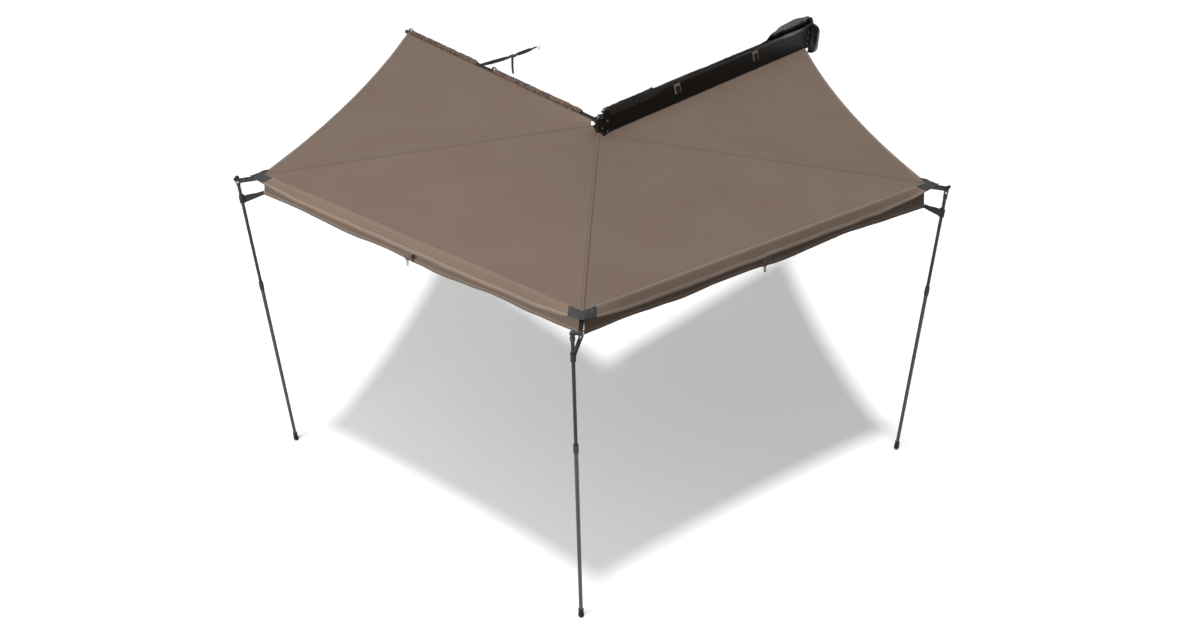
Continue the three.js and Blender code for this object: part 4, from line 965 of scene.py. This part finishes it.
def coverFront(x, t):
    low = heightAt(cover["skirt"], x)
    skirt = [(cover["face"], low), (cover["face"] - 0.0006, max(cover["top"] - 0.006, low + 0.001))]
    opened = heightAt(cover["frontRise"], x)
    parted = clamp(heightAt(cover["backRise"], x) / 0.03)
    ridge = (cover["ridge"] - 0.018 * parted, cover["top"] + cover["roll"] + opened)
    turn = cover["turnShare"]  # of the way, where the skirt ends and the roll begins
    if t < turn:
        y, z = (mix(p, q, t / turn) for p, q in zip(*skirt))
        out = 0.0012 * abs(wobble(x / 0.11, t * 3, 4))
        return drawnIn(x, y - out, z), (t * 0.08, x)
    part = (t - turn) / (1 - turn)
    angle = part * pi / 2
    y = mix(skirt[1][0], ridge[0], 1 - cos(angle)) - 0.004 * sin(part * pi)
    z = mix(skirt[1][1], ridge[1], sin(angle))
    live = sin(clamp(part * 1.15) * pi / 2)
    end = clamp((x - cover["start"]) / 0.03) * clamp((cover["end"] + 0.004 - x) / 0.02)
    d = crumple(x, part, 1) * live * end
    return drawnIn(x, y - d * 0.6, z + d), (t * 0.08, x)


def coverBack(x, t):
    opened = heightAt(cover["backRise"], x)
    shut = coverFront(x, 1.0)[0]
    apart = clamp(opened / 0.02)
    ridge = Vector((x, mix(shut.y, cover["ridge"] + opened * 0.10, apart),
                    mix(shut.z, cover["top"] + cover["roll"] + opened, apart)))
    foot = Vector((x, -0.0010, cover["top"] + 0.001))
    angle = t * pi / 2
    y = mix(ridge.y, foot.y, sin(angle))
    z = mix(ridge.z, foot.z, 1 - cos(angle))
    d = crumple(x, 1 + t, 1) * sin(t * pi) * (1 + apart)
    return drawnIn(x, min(y + d * 0.5, 0.0), z), (0.08 + t * 0.05, x)


def makeCover():
    xs = steps(260, cover["start"], cover["end"])
    for name, count, place, flat in (("coverFront", 18, coverFront, (0.050, 2.12)),
                                     ("coverBack", 10, coverBack, (0.050, 2.10))):
        cloth = gridCloth(name, xs, steps(count), place, vinyl, cover["thickness"])
        settle(cloth, "board", "cover_flap")


# over the D, the end panel runs on up to the scoop's back rim

pouchHood = [(-0.026, 0.098), (-0.022, 0.108), (-0.017, 0.120), (-0.011, 0.131), (-0.006, 0.137), (-0.003, 0.134),
             (-0.002, 0.116), (-0.002, 0.098), (-0.003, 0.084), (-0.012, 0.079), (-0.022, 0.075)]


def pouchOutline():
    top, low, corner, front, rear = (cover["pouch" + k] for k in ("Top", "Foot", "Corner", "Front", "Rear"))
    points = [(rear, z) for z in steps(10, 0.070, low)]
    points += [(y, low) for y in steps(5, rear, front + corner)[1:-1]]
    for start, middle in ((270, low + corner), (180, top - corner)):
        for angle in steps(12, start, start - 90):
            a = radians(angle)
            points.append((front + corner + corner * cos(a), middle + corner * sin(a)))
    points = [(y - 0.004 * ease((z + 0.02) / 0.06) if z > -0.02 and y < -0.04 else y, z) for y, z in points]
    return points + pouchHood


def makePouch():
    outline = pouchOutline()
    outline.append(outline[0])
    centre = (-0.040, 0.010)
    length = [0.0]
    for (y0, z0), (y1, z1) in zip(outline, outline[1:]):
        length.append(length[-1] + hypot(y1 - y0, z1 - z0))

    def wall(part, j):
        y, z = outline[j]
        at = Vector((cover["pouchEnd"], mix(centre[0], y, part), mix(centre[1], z, part)))
        soft = wobble(at.y / 0.05, at.z / 0.05, 3)
        at.x += 0.0045 * (1 - part ** 2) + 0.003 * soft * (1 - part)
        return at, (at.y, at.z)

    def rim(part, j):
        y, z = outline[j]
        wave = wobble(length[j] / 0.05, part, 8)
        inward = Vector((0, centre[0] - y, centre[1] - z)).normalized()
        behind = y > cover["pouchRear"] - 0.001
        start = cover["flange"] if behind else cover["pouchStart"]
        at = Vector((mix(cover["pouchEnd"], start, part), y, z))
        return at + inward * part * (0.0022 * wave * (not behind) + 0.0010), (length[j], part * 0.02)

    columns = list(range(len(outline)))
    for name, rows, place, flat in (("coverPouchEnd", steps(8, 0.02, 1.0), wall, (0.09, 0.24)),
                                    ("coverPouchRim", steps(5), rim, (0.033, length[-1]))):
        cloth = gridCloth(name, rows, columns, place, vinyl, cover["thickness"], flip=True)
        settle(cloth, "board", "cover_end_pouch")
    piping = bpy.data.curves.new("coverPiping", "CURVE")
    piping.dimensions = "3D"
    piping.bevel_depth = cover["piping"]
    piping.bevel_resolution = 3
    line = piping.splines.new("POLY")
    line.points.add(len(outline) - 2)
    line.use_cyclic_u = True
    for point, (y, z) in zip(line.points, outline[:-1]):
        point.co = (cover["pouchEnd"] + 0.0006, y, z, 1)
    piping.materials.append(greyPiping)
    settle(addObject("coverPiping", piping), "board", "cover_end_pouch")


makeCover()
makePouch()
print("cover ready")

# retaining straps: tan webbing down the board's face, doubled and box-stitched at the top, with a loose strand
# through the black buckle's window

retaining = {"places": [-0.388, 0.408], "width": 0.058, "drop": 0.078, "top": 0.075, "lean": 0.32,
             "face": -0.0253, "thickness": 0.0014, "strand": 0.018}


def makeRetaining(index, x):
    def strip(name, width, first, last, out, bend=0.0):
        def place(down, across):
            drop = mix(first, last, down)
            y = retaining["face"] - out - bend * sin(down * pi)
            at = Vector((x + across * width + retaining["lean"] * drop, y, retaining["top"] - drop))
            return at, (across * width, drop)

        obj = gridCloth(name, steps(12), steps(4, -0.5, 0.5), place, tanWebbing, retaining["thickness"], 0, flip=True)
        settle(obj, "board", f"retaining_strap_{index}")

    strip(f"retainingStrap{index}", retaining["width"], 0, retaining["drop"], 0.0010)
    strip(f"retainingLoop{index}", retaining["width"] * 0.96, 0.001, 0.021, 0.0026)
    strip(f"retainingStrand{index}", retaining["strand"], 0.026, 0.044, 0.0062, 0.002)


for i, x in enumerate(retaining["places"]):
    makeRetaining(i + 1, x)
print("retaining straps ready")

# floor and light: a pale seamless floor, an even surround, a soft sun overhead, and a broad key from the back left

studio = {
    "floor": "fbfbfb", "underfoot": "808080", "glow": 0.15, "floorHalf": 30,
    "surround": (0.0, 0.50), "brightWay": (-0.75, 0.30, 0.59), "sun": 1.95, "sunTilt": (2, -4), "sunSoft": 6,
    "key": 235, "keyPlace": (-8.2, -0.4, 1.6), "keyAim": (-1.6, 0.2, 0.0), "keySize": 3.0,
}


def makeStudio():
    scene = bpy.context.scene
    scene.view_settings.view_transform = "Standard"
    # the floor is white to the eye and in reflections, and a mid grey to the light that it throws back
    material, tree, shader = newMaterial("paintedFloor", {"Roughness": 0.9, "Specular IOR Level": 0.1,
                                                          "Emission Color": (1, 1, 1, 1)})
    ray = addNode(tree, "LightPath").outputs
    seen = addNode(tree, "Math", {"operation": "MAXIMUM"}, {0: ray["Is Glossy Ray"], 1: ray["Is Transmission Ray"]})
    seen = addNode(tree, "Math", {"operation": "MAXIMUM"}, {0: ray["Is Camera Ray"], 1: seen})
    glow = addNode(tree, "Math", {"operation": "MULTIPLY", 1: studio["glow"]}, {0: seen})
    connect(tree, shader, {"Base Color": layered(tree, studio["underfoot"], [(seen, studio["floor"])]),
                           "Emission Strength": glow})
    s, low = studio["floorHalf"], cadBox[0].z - 0.0005
    meshObject("floor", [(-s, -s, low), (s, -s, low), (s, s, low), (-s, s, low)], [(0, 1, 2, 3)], material)
    world = bpy.data.worlds.new("surround")
    scene.world = world
    world.use_nodes = True
    nodes = world.node_tree
    nodes.nodes.clear()
    eye = addNode(nodes, "LightPath").outputs["Is Camera Ray"]
    way = addNode(nodes, "TexCoord").outputs["Generated"]
    facing = addNode(nodes, "VectorMath", {"operation": "DOT_PRODUCT", 1: studio["brightWay"]}, {0: way})
    dim, bright = studio["surround"]
    level = addNode(nodes, "MapRange", {"From Min": -1.0, "From Max": 1.0, "To Min": dim, "To Max": bright},
                    {"Value": facing.outputs["Value"]})
    light = addNode(nodes, "Background", {"Color": (1, 1, 1, 1)}, {"Strength": level})
    back = addNode(nodes, "Background", {"Strength": 1.0, "Color": (1, 1, 1, 1)})
    both = addNode(nodes, "MixShader", links={0: eye, 1: light, 2: back})
    addNode(nodes, "OutputWorld", links={0: both})
    sun = bpy.data.lights.new("overhead", "SUN")
    sun.energy = studio["sun"]
    sun.angle = radians(studio["sunSoft"])
    overhead = addObject("overhead", sun)
    overhead.rotation_euler = [radians(a) for a in studio["sunTilt"]] + [0]
    key = bpy.data.lights.new("key", "AREA")
    key.energy = studio["key"]
    key.shape = "DISK"
    key.size = studio["keySize"]
    lamp = addObject("key", key)
    lamp.location = studio["keyPlace"]
    beam = Vector(studio["keyAim"]) - Vector(studio["keyPlace"])
    lamp.rotation_euler = beam.to_track_quat("-Z", "Y").to_euler()


makeStudio()
print("studio ready")
